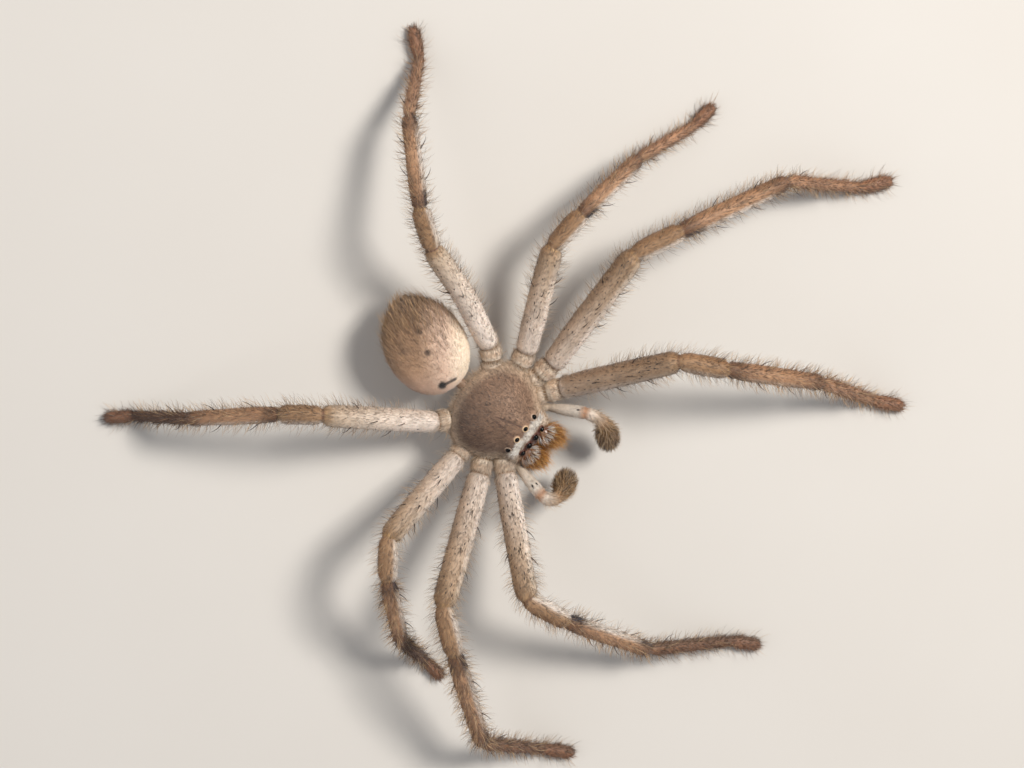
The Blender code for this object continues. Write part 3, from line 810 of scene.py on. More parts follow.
class Effects:
    """The shader groups that several finishes share."""

    def __init__(self) -> None:
        """Build every group once."""
        self.grain = self.make_grain()
        self.setae = self.make_setae()

    def make_grain(self) -> bpy.types.NodeTree:
        """Streaks that run with the lie of the coat: noise squeezed across and drawn out along it.

        Returns:
            The group, which gives the streaks and a broad cloudiness.
        """
        number = "NodeSocketFloat"
        group = Group.new("Coat grain", {"Place": ("NodeSocketVector", (0, 0, 0)), "Along": (number, 1.2),
                                         "Across": (number, 6.0)}, {"Value": number, "Patchy": number})
        inner = group.add("NodeGroupInput").outputs
        scale = group.add("ShaderNodeCombineXYZ", {0: inner["Along"], 1: inner["Across"], 2: inner["Across"]})
        place = group.add("ShaderNodeVectorMath", {0: inner["Place"], 1: scale.outputs[0]},
                          operation="MULTIPLY")
        streak = group.add("ShaderNodeTexNoise", {"Vector": place.outputs[0], "Scale": 1.0, "Detail": 4.0,
                                                  "Roughness": 0.65})
        broad = group.add("ShaderNodeTexNoise", {"Vector": inner["Place"], "Scale": 0.7, "Detail": 3.0})
        group.add("NodeGroupOutput", {"Value": streak.outputs["Fac"], "Patchy": broad.outputs["Fac"]},
                  is_active_output=True)
        return group.tree

    def make_setae(self) -> bpy.types.NodeTree:
        """Scattered dark dots where bristles stand: cells whose nearest point is closer than their size.

        Returns:
            The group, which gives how far each place is covered by a dot.
        """
        number = "NodeSocketFloat"
        group = Group.new("Dark dots", {"Place": ("NodeSocketVector", (0, 0, 0)), "Scale": (number, 0.8),
                                        "Size": (number, 0.16), "Amount": (number, 1.0)}, {"Mask": number})
        inner = group.add("NodeGroupInput").outputs
        squash = group.add("ShaderNodeVectorMath", {0: inner["Place"], 1: (0.55, 1.0, 1.0)},
                           operation="MULTIPLY")
        cells = group.add("ShaderNodeTexVoronoi", {"Vector": squash.outputs[0], "Scale": inner["Scale"],
                                                   "Randomness": 1.0})
        edge = group.add("ShaderNodeMath", {0: inner["Size"], 1: 1.9}, operation="MULTIPLY")
        fade = group.stretch(cells.outputs["Distance"], 1.0, 0.0, inner["Size"], edge.outputs[0])
        mask = group.add("ShaderNodeMath", {0: fade, 1: inner["Amount"]}, operation="MULTIPLY",
                         use_clamp=True)
        group.add("NodeGroupOutput", {"Mask": mask.outputs[0]})
        return group.tree


@dataclass(frozen=True)
class Finish:
    """A surface: tint from the mesh, broken up by grain and dark dots, on one Principled shader."""

    name: str
    roughness: float = 0.6
    specular: float = 0.35
    sheen: float = 0.0
    coat: float = 0.0
    grain: float = 0.35
    along: float = 1.2
    across: float = 6.0
    bump: float = 0.0
    bump_depth: float = 0.03
    subsurface: float = 0.0
    dot_scale: float = 0.8
    dot_size: float = 0.16
    dot_colour: Colour = (38, 26, 22)
    cloud: float = 0.12
    uneven_roughness: float = 0.12

    def build(self, effects: Effects) -> Material:
        """Make the material.

        Args:
            effects: The shared groups.

        Returns:
            The material, which reads the mesh's tint, place and dots fields.
        """
        material, group, shader = start_material(self.name, {
            "Specular IOR Level": self.specular, "Sheen Weight": self.sheen, "Sheen Roughness": 0.5,
            "Coat Weight": self.coat, "Coat Roughness": 0.08})
        if self.subsurface:
            group.put(shader, {"Subsurface Weight": self.subsurface, "Subsurface Radius": (1.0, 0.6, 0.4),
                               "Subsurface Scale": 0.0004})
        tint, place, dots = [group.add("ShaderNodeAttribute", attribute_name=label)
                             for label in ("tint", "place", "dots")]
        grain = group.add("ShaderNodeGroup", {"Place": place.outputs["Vector"], "Along": self.along,
                                              "Across": self.across}, node_tree=effects.grain)
        spots = group.add("ShaderNodeGroup", {"Place": place.outputs["Vector"], "Amount": dots.outputs["Fac"],
                                              "Scale": self.dot_scale, "Size": self.dot_size},
                          node_tree=effects.setae)
        light = group.stretch(grain.outputs["Value"], 1 - self.grain, 1 + self.grain, 0.3, 0.7)
        patchy = group.stretch(grain.outputs["Patchy"], 1 - self.cloud, 1 + self.cloud, 0.3, 0.7)
        both = group.add("ShaderNodeMath", {0: light, 1: patchy}, operation="MULTIPLY")
        lit = group.add("ShaderNodeVectorMath", {0: tint.outputs["Color"], "Scale": both.outputs[0]},
                        operation="SCALE")
        colour = group.mix(spots.outputs["Mask"], lit.outputs[0], paint(self.dot_colour))
        rough = group.stretch(grain.outputs["Value"], self.roughness + self.uneven_roughness,
                              self.roughness - self.uneven_roughness)
        group.put(shader, {"Base Color": colour, "Roughness": rough})
        if self.bump:
            relief = group.add("ShaderNodeBump", {"Strength": self.bump, "Distance": self.bump_depth * MM,
                                                  "Height": grain.outputs["Value"]})
            group.put(shader, {"Normal": relief.outputs["Normal"]})
        return material


@dataclass(frozen=True)
class Gloss:
    """A hard glossy surface such as an eye, a fang or a spine: two near tones in fine clouds."""

    name: str
    colour: Colour
    cloud_colour: Colour
    roughness: float
    coat: float
    scale: float = 900.0
    specular: float = 0.6
    coat_roughness: float = 0.03
    uneven: float = 0.4

    def build(self) -> Material:
        """Make the material.

        Returns:
            The material, with its clear coat.
        """
        material, group, shader = start_material(self.name, {
            "Coat Weight": self.coat, "Coat Roughness": self.coat_roughness,
            "Specular IOR Level": self.specular})
        where = group.add("ShaderNodeTexCoord").outputs["Object"]
        noise = group.add("ShaderNodeTexNoise", {"Vector": where, "Scale": self.scale, "Detail": 3.0})
        cloud = noise.outputs["Fac"]
        colour = group.mix(cloud, paint(self.colour), paint(self.cloud_colour))
        rough = group.stretch(cloud, self.roughness * (1 - self.uneven), self.roughness * (1 + self.uneven))
        group.put(shader, {"Base Color": colour, "Roughness": rough})
        return material


# Legs

LEG_PIECES = ("femur", "patella", "tibia", "metatarsus", "tarsus")
# Share of each piece's length, and its girth there as a share of its full width
LEG_PROFILES = {
    "femur": ((0, 0.84), (0.03, 0.92), (0.25, 1.0), (0.6, 0.99), (0.9, 0.96), (0.965, 0.9), (1, 0.66)),
    "patella": ((0, 0.68), (0.07, 0.88), (0.2, 0.97), (0.5, 1.0), (0.86, 0.97), (0.95, 0.88), (1, 0.7)),
    "tibia": ((0, 0.72), (0.03, 0.9), (0.25, 1.0), (0.55, 0.96), (0.92, 0.9), (0.97, 0.84), (1, 0.68)),
    "metatarsus": ((0, 0.72), (0.04, 0.94), (0.1, 1.0), (0.35, 0.95), (0.94, 0.85), (1, 0.75)),
    "tarsus": ((0, 0.72), (0.12, 0.88), (0.4, 1.0), (0.8, 0.95), (0.95, 0.7), (1, 0.4)),
}
# Depth of each piece over its width
LEG_DEPTH = {"femur": 1.12, "patella": 1.0, "tibia": 0.98, "metatarsus": 0.95, "tarsus": 0.9}
COXA_PROFILE = ((0, 0.85), (0.4, 1.04), (0.58, 1.0), (0.63, 0.84), (0.67, 0.84), (0.72, 0.96), (0.9, 0.95),
                (0.97, 0.86), (1, 0.82))
# Piece, share of its length, angle round it from the top towards the front, and length of each spine
SPINES = (
    ("femur", 0.34, 0, 1.7), ("femur", 0.6, 5, 1.8), ("femur", 0.45, 68, 1.7), ("femur", 0.74, 62, 1.6),
    ("femur", 0.68, -62, 1.6),
    ("tibia", 0.28, 80, 1.7), ("tibia", 0.66, 78, 1.7), ("tibia", 0.3, -80, 1.7), ("tibia", 0.68, -78, 1.6),
    ("tibia", 0.2, 150, 1.9),
    ("metatarsus", 0.16, 95, 1.7), ("metatarsus", 0.2, -95, 1.7),
)
# Hip, piece lengths and piece widths of each pair
LEG_SIZES = {
    1: ((5.05, -3.8, 5.3), (12.8, 4.7, 11.45, 9.25, 3.4), (2.4, 2.05, 1.85, 1.35, 1.4)),
    2: ((6.5, -1.75, 5.3), (14.05, 4.85, 12.45, 9.45, 3.3), (2.5, 2.1, 1.9, 1.35, 1.4)),
    3: ((6.2, 1.1, 5.3), (11.3, 4.1, 8.8, 7.7, 2.8), (2.35, 2.0, 1.75, 1.25, 1.3)),
    4: ((4.35, 4.65, 5.3), (12.6, 4.15, 9.55, 8.05, 3.15), (2.3, 1.95, 1.7, 1.25, 1.3)),
}
# Outward and rearward shift of a hip that stands clear of the hind body, and how far that thigh bows forwards
HIP_SHIFTS = {(Side.LEFT, 4): (0.44, -0.23, 0.3)}
# How thickly each thigh is dotted
DASH_SHARES = {
    (Side.LEFT, 1): 0.8, (Side.LEFT, 2): 0.35, (Side.LEFT, 3): 0.35, (Side.LEFT, 4): 0.2,
    (Side.RIGHT, 1): 1.0, (Side.RIGHT, 2): 0.6, (Side.RIGHT, 3): 0.35, (Side.RIGHT, 4): 0.2,
}
# Headings and rises of each leg's pieces, then how brown (below 0: how pale) its thigh is, how pale its
# front and how dark its foot. The paler thighs are partly painted light, and the dark feet of the right
# legs are partly their own brown and partly painted shade.
LEG_POSES = {
    (Side.LEFT, 1): ((51, 23, 21, 9, 20), (28, 2, -24), (0.85, 0.1, 0.0)),
    (Side.LEFT, 2): ((89, 59, 55, 26, 45), (15, 1, -18), (0.3, 0.85, 0.0)),
    (Side.LEFT, 3): ((111, 82, 73, 59, 78), (16, 3, -27), (-0.2, 1.0, 0.05)),
    (Side.LEFT, 4): ((153, 140, 129, 109, 135), (22, 15, -27), (-0.7, 0.8, 0.05)),
    (Side.RIGHT, 1): ((48, -1, -6, -32, -24), (24, -11, -29), (0.1, 1.0, 0.75)),
    (Side.RIGHT, 2): ((76, 44, 41, -11, -23), (30, 1, -26), (0.0, 0.75, 0.7)),
    (Side.RIGHT, 3): ((103, 58, 46, 22, 15), (31, 8, -32), (-0.2, 0.8, 1.0)),
    (Side.RIGHT, 4): ((156, 147, 141, 139, 143), (26, -12, -20), (-0.65, 0.3, 1.0)),
}
# Piece, share of its length, colour on top, and colour in front on a leg whose front is pale
LEG_BANDS = (
    # The coxa's dark bands at 0.62, 0.67 and 0.98 lie in its grooves: dark membrane deepened with painted
    # shade. Its pale bands at 0.58, 0.71 and 0.93 on the grooves' edges are partly painted highlight.
    ("coxa", 0.0, (146, 120, 98), (146, 120, 98)), ("coxa", 0.5, (184, 160, 136), (190, 168, 146)),
    ("coxa", 0.58, (208, 190, 170), (214, 198, 180)), ("coxa", 0.62, (112, 84, 54), (104, 80, 46)),
    ("coxa", 0.67, (120, 92, 62), (108, 82, 50)), ("coxa", 0.71, (210, 194, 174), (218, 204, 188)),
    ("coxa", 0.8, (186, 160, 136), (194, 172, 152)), ("coxa", 0.93, (204, 184, 162), (208, 190, 172)),
    ("coxa", 0.98, (116, 86, 58), (124, 94, 66)),
    ("femur", 0.0, (132, 104, 80), (150, 122, 98)), ("femur", 0.025, (200, 184, 170), (228, 214, 202)),
    ("femur", 0.35, (194, 174, 156), (234, 219, 206)), ("femur", 0.65, (176, 151, 127), (226, 210, 194)),
    ("femur", 0.93, (156, 128, 100), (196, 176, 154)), ("femur", 0.985, (158, 126, 94), (180, 154, 126)),
    ("femur", 0.995, (190, 154, 108), (194, 160, 122)),
    ("patella", 0.0, (106, 74, 58), (90, 60, 54)), ("patella", 0.03, (150, 118, 88), (204, 190, 174)),
    ("patella", 0.5, (152, 119, 88), (214, 202, 190)), ("patella", 0.96, (146, 113, 82), (204, 188, 172)),
    ("patella", 0.99, (180, 142, 98), (190, 154, 118)), ("tibia", 0.01, (104, 74, 54), (58, 50, 52)),
    ("tibia", 0.11, (124, 92, 66), (52, 46, 50)), ("tibia", 0.2, (160, 122, 92), (184, 170, 156)),
    ("tibia", 0.5, (172, 133, 101), (216, 204, 192)), ("tibia", 0.76, (162, 123, 92), (196, 176, 158)),
    ("tibia", 0.88, (132, 98, 72), (100, 80, 68)), ("tibia", 0.98, (124, 90, 66), (88, 72, 62)),
    ("metatarsus", 0.03, (164, 124, 94), (146, 118, 96)),
    ("metatarsus", 0.5, (172, 130, 100), (150, 118, 94)),
    ("metatarsus", 0.97, (156, 116, 86), (136, 106, 84)),
    ("tarsus", 0.08, (156, 113, 86), (132, 100, 78)), ("tarsus", 0.9, (140, 100, 74), (116, 88, 68)),
)


@dataclass
class Leg:
    """One leg from its coxa under the shield to its toe."""

    side: Side
    pair: int
    ankle_height: float = 0.75
    toe_height: float = 0.5
    coxa_centre: Point = (0.0, 0.4, 4.75)
    coxa_reach: float = 2.0
    coxa_width: float = 2.35
    coat_depth: float = 0.05
    columns: int = 29
    row_step: float = 0.17
    spine_sunk: float = 0.42
    spine_lean: float = 46.0
    spine_bend: float = 14.0
    spine_spread: float = 0.12
    spine_share: float = 0.78
    dash_step: float = 0.95
    thinnest: float = 0.12
    knuckle_folds: float = 0.03
    tip_gap: float = 0.15
    back_tone: Colour = (0.95, 0.86, 0.76)
    dark_tone: Colour = (0.3, 0.24, 0.2)

    def __post_init__(self) -> None:
        """Work out the joints piece by piece, then the path through them."""
        hip, self.lengths, self.widths = LEG_SIZES[self.pair]
        headings, rises, (self.brown, self.pale, self.dark_foot) = LEG_POSES[self.side, self.pair]
        sign = self.side.value
        out_shift, y_shift, bow = HIP_SHIFTS.get((self.side, self.pair), (0.0, 0.0, 0.0))
        joints = [np.array([sign * (hip[0] + out_shift), hip[1] + y_shift, hip[2]])]
        rises = list(rises)
        for step, (length, heading) in enumerate(zip(self.lengths, headings)):
            if step == len(rises):
                target = self.ankle_height if LEG_PIECES[step] == "metatarsus" else self.toe_height
                rises.append(math.degrees(math.asin((target - joints[-1][2]) / length)))
            turn, rise = math.radians(heading), math.radians(rises[step])
            level = math.cos(rise)
            run = np.array([sign * math.sin(turn) * level, -math.cos(turn) * level, math.sin(rise)])
            joints.append(joints[-1] + run * length)
        centre = np.array(self.coxa_centre)
        out = unit(joints[0] - centre) * self.coxa_reach
        root = centre + np.array([out[0], out[1], 0.0])
        self.joints = np.array([root, *joints])
        self.sweep = Sweep(self.joints, sign, bow=(1, bow))
        self.ends = dict(zip(("coxa", *LEG_PIECES), zip(self.sweep.knots, self.sweep.knots[1:])))

    @property
    def name(self) -> str:
        """The leg's name as the frame's nodes write it."""
        return f"leg_{self.side.label}_{self.pair}"

    def girths(self, along: Array) -> tuple[Array, Array]:
        """Each piece's profile on its own stretch, less the coat's depth.

        Args:
            along: Distances along the leg.

        Returns:
            Half widths and half depths.
        """
        stations, wide, deep = [], [], []
        for piece, (start, end) in self.ends.items():
            profile = COXA_PROFILE if piece == "coxa" else LEG_PROFILES[piece]
            width = self.coxa_width if piece == "coxa" else self.widths[LEG_PIECES.index(piece)]
            for share, girth in profile:
                stations.append(start + (end - start) * (0.012 + 0.976 * share))
                wide.append(width * girth / 2)
                deep.append(wide[-1] * LEG_DEPTH.get(piece, 1.0))
        wide = np.interp(along, stations, wide) - self.coat_depth
        deep = np.interp(along, stations, deep) - self.coat_depth
        return np.maximum(wide, self.thinnest), np.maximum(deep, self.thinnest)

    def tints(self, along: Array, angle: Array) -> Array:
        """Mix the bands' colours on top and in front by the angle round the leg.

        Args:
            along: Distances of the rows.
            angle: Angles of the columns.

        Returns:
            One colour for each point of the grid.
        """
        spans = [self.ends[piece] for piece, *_ in LEG_BANDS]
        stations = [start + (end - start) * band[1] for (start, end), band in zip(spans, LEG_BANDS)]
        top, front = (read_rows(along, stations, np.array([tone(*band[part]) for band in LEG_BANDS]))
                      for part in (2, 3))
        femur, foot_start, toe_start = self.ends["femur"], self.ends["metatarsus"][0], self.ends["tarsus"][0]
        thigh = ease(along, femur[0], femur[0] + 1.0) * (1 - ease(along, femur[1] - 1.0, femur[1]))
        # A brown thigh, or with a brown below 0 a thigh as pale as its front and with a lighter back: that
        # paleness is partly painted light.
        top = blend(top, tone(146, 119, 94) * np.ones_like(top), max(self.brown, 0.0) * thigh)
        top = blend(top, front, max(-self.brown, 0.0) * thigh)
        # The foot is darkened partly by its own brown and partly by painted shade.
        foot = ease(along, foot_start - 1.0, foot_start + 1.0)
        foot = foot * (1 - 0.6 * ease(along, toe_start - 0.5, toe_start + 1.0)) * self.dark_foot
        top, front = (blend(part, part * np.array(self.dark_tone), foot) for part in (top, front))
        facing = ease(np.sin(angle - 0.2), 0.1, 0.6) * (0.25 + 0.75 * self.pale)
        under = ease(-np.cos(angle), 0.2, 0.95)
        behind = ease(-np.sin(angle), 0.2, 0.9)[None, :, None] * min(1.0, 1 + self.brown)
        back = top[:, None] * (1 - behind * (1 - np.array(self.back_tone)))
        tint = blend(back, front[:, None], facing[None])
        return blend(tint, front[:, None] * 0.85, under[None] * 0.8)

    def skin(self, window: Window) -> Patch:
        """The leg's skin: an ellipse carried along the path, flattened where the foot stands.

        The folds of the knuckles are the product of two sines round and along the leg.

        Args:
            window: The leg's part of the OFBake map.

        Returns:
            The grid.
        """
        total = self.sweep.knots[-1]
        along = np.linspace(0.0, total - self.tip_gap, int(total / self.row_step))
        wide, deep = self.girths(along)
        points, lie, angle = self.sweep.tube(along, wide, deep, self.columns)
        points[..., 2] = np.maximum(points[..., 2], 2 * FLOOR_CLEARANCE)
        start, end, knee = self.ends["femur"][0], self.ends["tibia"][1], self.ends["patella"][0]
        strength = ease(along, start + 0.5, start + 2.0) * (1 - 0.75 * ease(along, knee, end))
        strength = strength * (1 - ease(along, end - 1.0, end + 1.0))
        dots = 0.35 * strength[:, None] * ease(np.cos(angle), -0.6, -0.1)[None]
        knuckle = 1 - ease(along, start - 0.1, start + 0.3)
        wave = np.sin(3 * angle[None] + 2.1 * along[:, None] + self.pair)
        wave = wave * np.sin(5 * angle[None] - 3.7 * along[:, None])
        inwards = unit(np.repeat(points.mean(axis=1, keepdims=True), self.columns, axis=1) - points)
        points = points + inwards * (self.knuckle_folds * knuckle[:, None] * (1 + wave))[..., None]
        place = tube_place(along, angle, 1.15, 20.0 * self.pair + 90.0 * self.side.value)
        self.along, self.angle = along, angle
        return Patch(points, self.tints(along, angle), lie, place, dots, Cover.LIMB, window)

    def field(self, *knots: tuple[str, float, float]) -> Array:
        """Read a value along the leg, as a field of the grid's shape.

        Args:
            knots: Piece, share of its length and value, in the order of the leg.

        Returns:
            The field.
        """
        spans = [self.ends[piece] for piece, _, _ in knots]
        stations = [start + (end - start) * knot[1] for (start, end), knot in zip(spans, knots)]
        values = np.interp(self.along, stations, [value for _, _, value in knots])
        return values[:, None] * np.ones((1, self.angle.size))

    def coat(self, patch: Patch, material: Material, seed: int) -> Coat:
        """Flat fur along the leg, dark dashes on the thigh, a long fringe, and the brush under the foot.

        Args:
            patch: The leg's skin.
            material: The fur's finish.
            seed: Start of the random draws.

        Returns:
            The coat.
        """
        coat = Coat(f"coat_{self.name}", "thigh", seed, material)
        density = self.field(("coxa", 0.2, 0.0), ("coxa", 0.4, 0.9), ("femur", 0.5, 0.9),
                             ("tibia", 0.0, 1.0), ("tibia", 1.0, 1.1), ("tarsus", 1.0, 1.2))
        coat.cover(patch, 24.0, density, Hair(0.46, 0.062, 13.0, uneven=0.2))
        coat.cover(patch, 5.0, density, Hair(0.5, 0.05, 15.0, colour=(108, 86, 68), own=0.5, tip_shade=1.0))
        coat.grow(self.dashes(patch, coat.chance),
                  Hair(0.3, 0.27, 7.0, bend=0.9, yaw=12, vary=0.45, colour=(26, 18, 16), own=0.96,
                       tip_shade=1.0))
        knuckle = self.field(("coxa", 0.3, 0.2), ("coxa", 0.6, 1.0), ("femur", 0.02, 1.0),
                             ("femur", 0.06, 0.0))
        for colour, share in (((222, 202, 178), 30.0), ((172, 142, 112), 8.0)):
            coat.cover(patch, share, knuckle, Hair(0.6, 0.045, 24.0, yaw=30, colour=colour, own=0.6))
        outer = self.field(("femur", 0.1, 0.1), ("femur", 0.5, 0.45), ("femur", 0.9, 0.7),
                           ("patella", 0.5, 1.0), ("tibia", 0.5, 1.15), ("tibia", 1.0, 1.15),
                           ("metatarsus", 0.8, 0.9), ("tarsus", 1.0, 0.35))
        bright = self.field(("patella", 0.04, 0.0), ("patella", 0.12, 1.0), ("patella", 0.9, 1.0),
                            ("tibia", 0.0, 0.0), ("tibia", 0.16, 0.0), ("tibia", 0.24, 1.0),
                            ("tibia", 0.76, 1.0), ("tibia", 0.86, 0.0))
        bright = bright * self.pale * ease(np.sin(self.angle), 0.35, 0.7)[None]
        coat.cover(patch, 44.0, bright,
                   Hair(0.42, 0.06, 12.0, colour=(248, 240, 232), own=0.85, uneven=0.15))
        sides = outer * (0.3 + np.abs(np.sin(self.angle))[None] ** 1.5) * (1 - 0.7 * bright)
        for colour, own, share in (((158, 120, 80), 0.8, 5.4), ((212, 178, 134), 0.85, 4.0),
                                   ((66, 46, 34), 0.85, 2.8)):
            coat.cover(patch, share, sides,
                       Hair(1.5, 0.05, 76.0, bend=0.55, yaw=40, vary=0.4, stops=LONG_STOPS, colour=colour,
                            own=own, root_shade=0.8, tip_shade=1.1))
        shag = self.field(("tibia", 0.6, 0.1), ("tibia", 1.0, 0.5), ("metatarsus", 0.2, 1.0),
                          ("tarsus", 0.6, 1.0), ("tarsus", 1.0, 0.5))
        for colour, share in (((186, 140, 104), 14.0), ((118, 84, 60), 8.0)):
            coat.cover(patch, share, shag,
                       Hair(0.75, 0.055, 38.0, yaw=24, colour=colour, own=0.4 * (1 - self.dark_foot),
                            tip_shade=1.15))
        under = ease(-np.cos(self.angle), -0.5, 0.4)[None]
        brush = self.field(("tibia", 1.0, 0.0), ("metatarsus", 0.1, 0.6), ("metatarsus", 1.0, 1.0),
                           ("tarsus", 0.9, 1.0)) * under
        coat.cover(patch, 22.0, brush,
                   Hair(0.5, 0.055, 55.0, bend=0.4, colour=(92, 72, 58), own=0.4, tip_shade=1.0))
        return coat

    def dashes(self, patch: Patch, chance: np.random.Generator) -> Roots:
        """Places of the thigh's dark dashes: a loose lattice of rows along and round the upper side.

        Args:
            patch: The leg's skin.
            chance: Source of the random draws.

        Returns:
            The roots of the dashes.
        """
        start, end = self.ends["femur"][0] + 1.2, self.ends["femur"][1] - 0.5
        count = int((end - start) / self.dash_step)
        around = np.radians([-100, -74, -48, -22, 4, 30, 56, 82, 108])
        every_other = 0.5 * (np.arange(around.size)[None] % 2)
        along = start + (np.arange(count)[:, None] + every_other) * self.dash_step
        along = along + chance.uniform(-0.42, 0.42, along.shape)
        angle = around[None] + chance.uniform(-0.16, 0.16, along.shape)
        row = np.interp(along.ravel(), self.along, np.arange(self.along.size))
        column = (angle.ravel() / (2 * math.pi) * self.angle.size) % self.angle.size
        keep = chance.random(row.size) < DASH_SHARES[self.side, self.pair]
        return patch.roots_at(row[keep], column[keep])

    def spine_paths(self) -> list[Array]:
        """Thorns at the solids' own places: each leans along the leg and bends over towards its tip.

        Returns:
            Points of each thorn's middle line, root first.
        """
        chance = random.Random(f"{self.side.label} {self.pair}")
        paths = []
        for index, piece in enumerate(LEG_PIECES):
            start, end = self.joints[index + 1], self.joints[index + 2]
            axis = unit(end - start)
            across = unit(np.cross(axis, [0.0, 0.0, 1.0]))
            up = np.cross(across, axis)
            front = across if across[1] <= 0 else -across
            width = self.widths[index]
            depth = width * LEG_DEPTH[piece]
            for owner, share, angle, length in SPINES:
                if owner != piece:
                    continue
                share += chance.uniform(-self.spine_spread, self.spine_spread) / 2
                turn = math.radians(angle + chance.uniform(-6, 6))
                shares, sizes = zip(*LEG_PROFILES[piece])
                girth = np.interp(share, shares, sizes) * 0.97
                normal = unit(front * math.sin(turn) / width + up * math.cos(turn) / depth)
                root = start + (end - start) * share
                root = root + (front * math.sin(turn) * width + up * math.cos(turn) * depth) / 2 * girth
                lie = unit(axis - normal * (axis @ normal))
                length *= self.spine_share
                reach = np.linspace(-self.spine_sunk, length, 8)
                lean = np.radians(self.spine_lean + self.spine_bend * np.clip(reach / length, 0, 1) ** 1.5)
                heading = lie * np.sin(lean)[:, None] + normal * np.cos(lean)[:, None]
                paths.append(root + heading * reach[:, None])
        return paths

    def claw_paths(self) -> list[Array]:
        """Two small hooks at the toe, curving down.

        Returns:
            Points of each hook's middle line, root first.
        """
        centre, axis, front, up = (part[0] for part in self.sweep.at(np.array([self.sweep.knots[-1] - 0.35])))
        reach = np.linspace(0, 1, 6)[:, None]
        return [centre + front * spread * (0.5 + reach / 2) + axis * reach * 0.5
                + up * (0.22 * np.sin(reach * math.pi) - 0.2 * reach) for spread in (-0.2, 0.2)]


# Horns: thorns, claws and fangs


@dataclass
class Horns:
    """Pointed round forms along paths, joined into one piece."""

    name: str
    slot: str
    material: Material
    corners: int = 8

    def build(self, shop: Workshop, paths: list[Array], radius: float, blunt: float = 0.05) -> Item:
        """Carry a shrinking circle along each path: its radius falls with a power of what is left.

        Args:
            shop: Makes the object.
            paths: Points of each form's middle line, root first, all with the same count.
            radius: Radius at the root.
            blunt: Share of the radius that is left at the tip.

        Returns:
            The object.
        """
        path = np.array(paths)
        count, steps = path.shape[:2]
        heading = unit(np.gradient(path, axis=1))
        side = unit(np.cross(heading, [0.31, 0.17, 0.93]))
        over = np.cross(side, heading)
        left = 1 - np.linspace(0, 1, steps)
        girth = radius * (blunt + (1 - blunt) * left ** TAPER)
        angle = round_angles(self.corners)
        ring = side[:, :, None] * np.cos(angle)[:, None] + over[:, :, None] * np.sin(angle)[:, None]
        points = path[:, :, None] + ring * girth[:, None, None]
        grid = np.arange(steps * self.corners).reshape(steps, self.corners)
        beside = np.roll(grid, -1, axis=1)
        quads = np.stack([grid[:-1], grid[1:], beside[1:], beside[:-1]], axis=-1).reshape(-1)
        shift = steps * self.corners * np.arange(count)[:, None]
        closed = [quads + shift, grid[0] + shift, grid[-1, ::-1] + shift]
        sizes = [np.full(count * len(quads) // 4, 4), np.full(2 * count, self.corners)]
        corners = np.concatenate([part.ravel() for part in closed])
        item = shop.mesh(self.name, points, corners, np.concatenate(sizes), [self.material], {})
        return item


# Front body


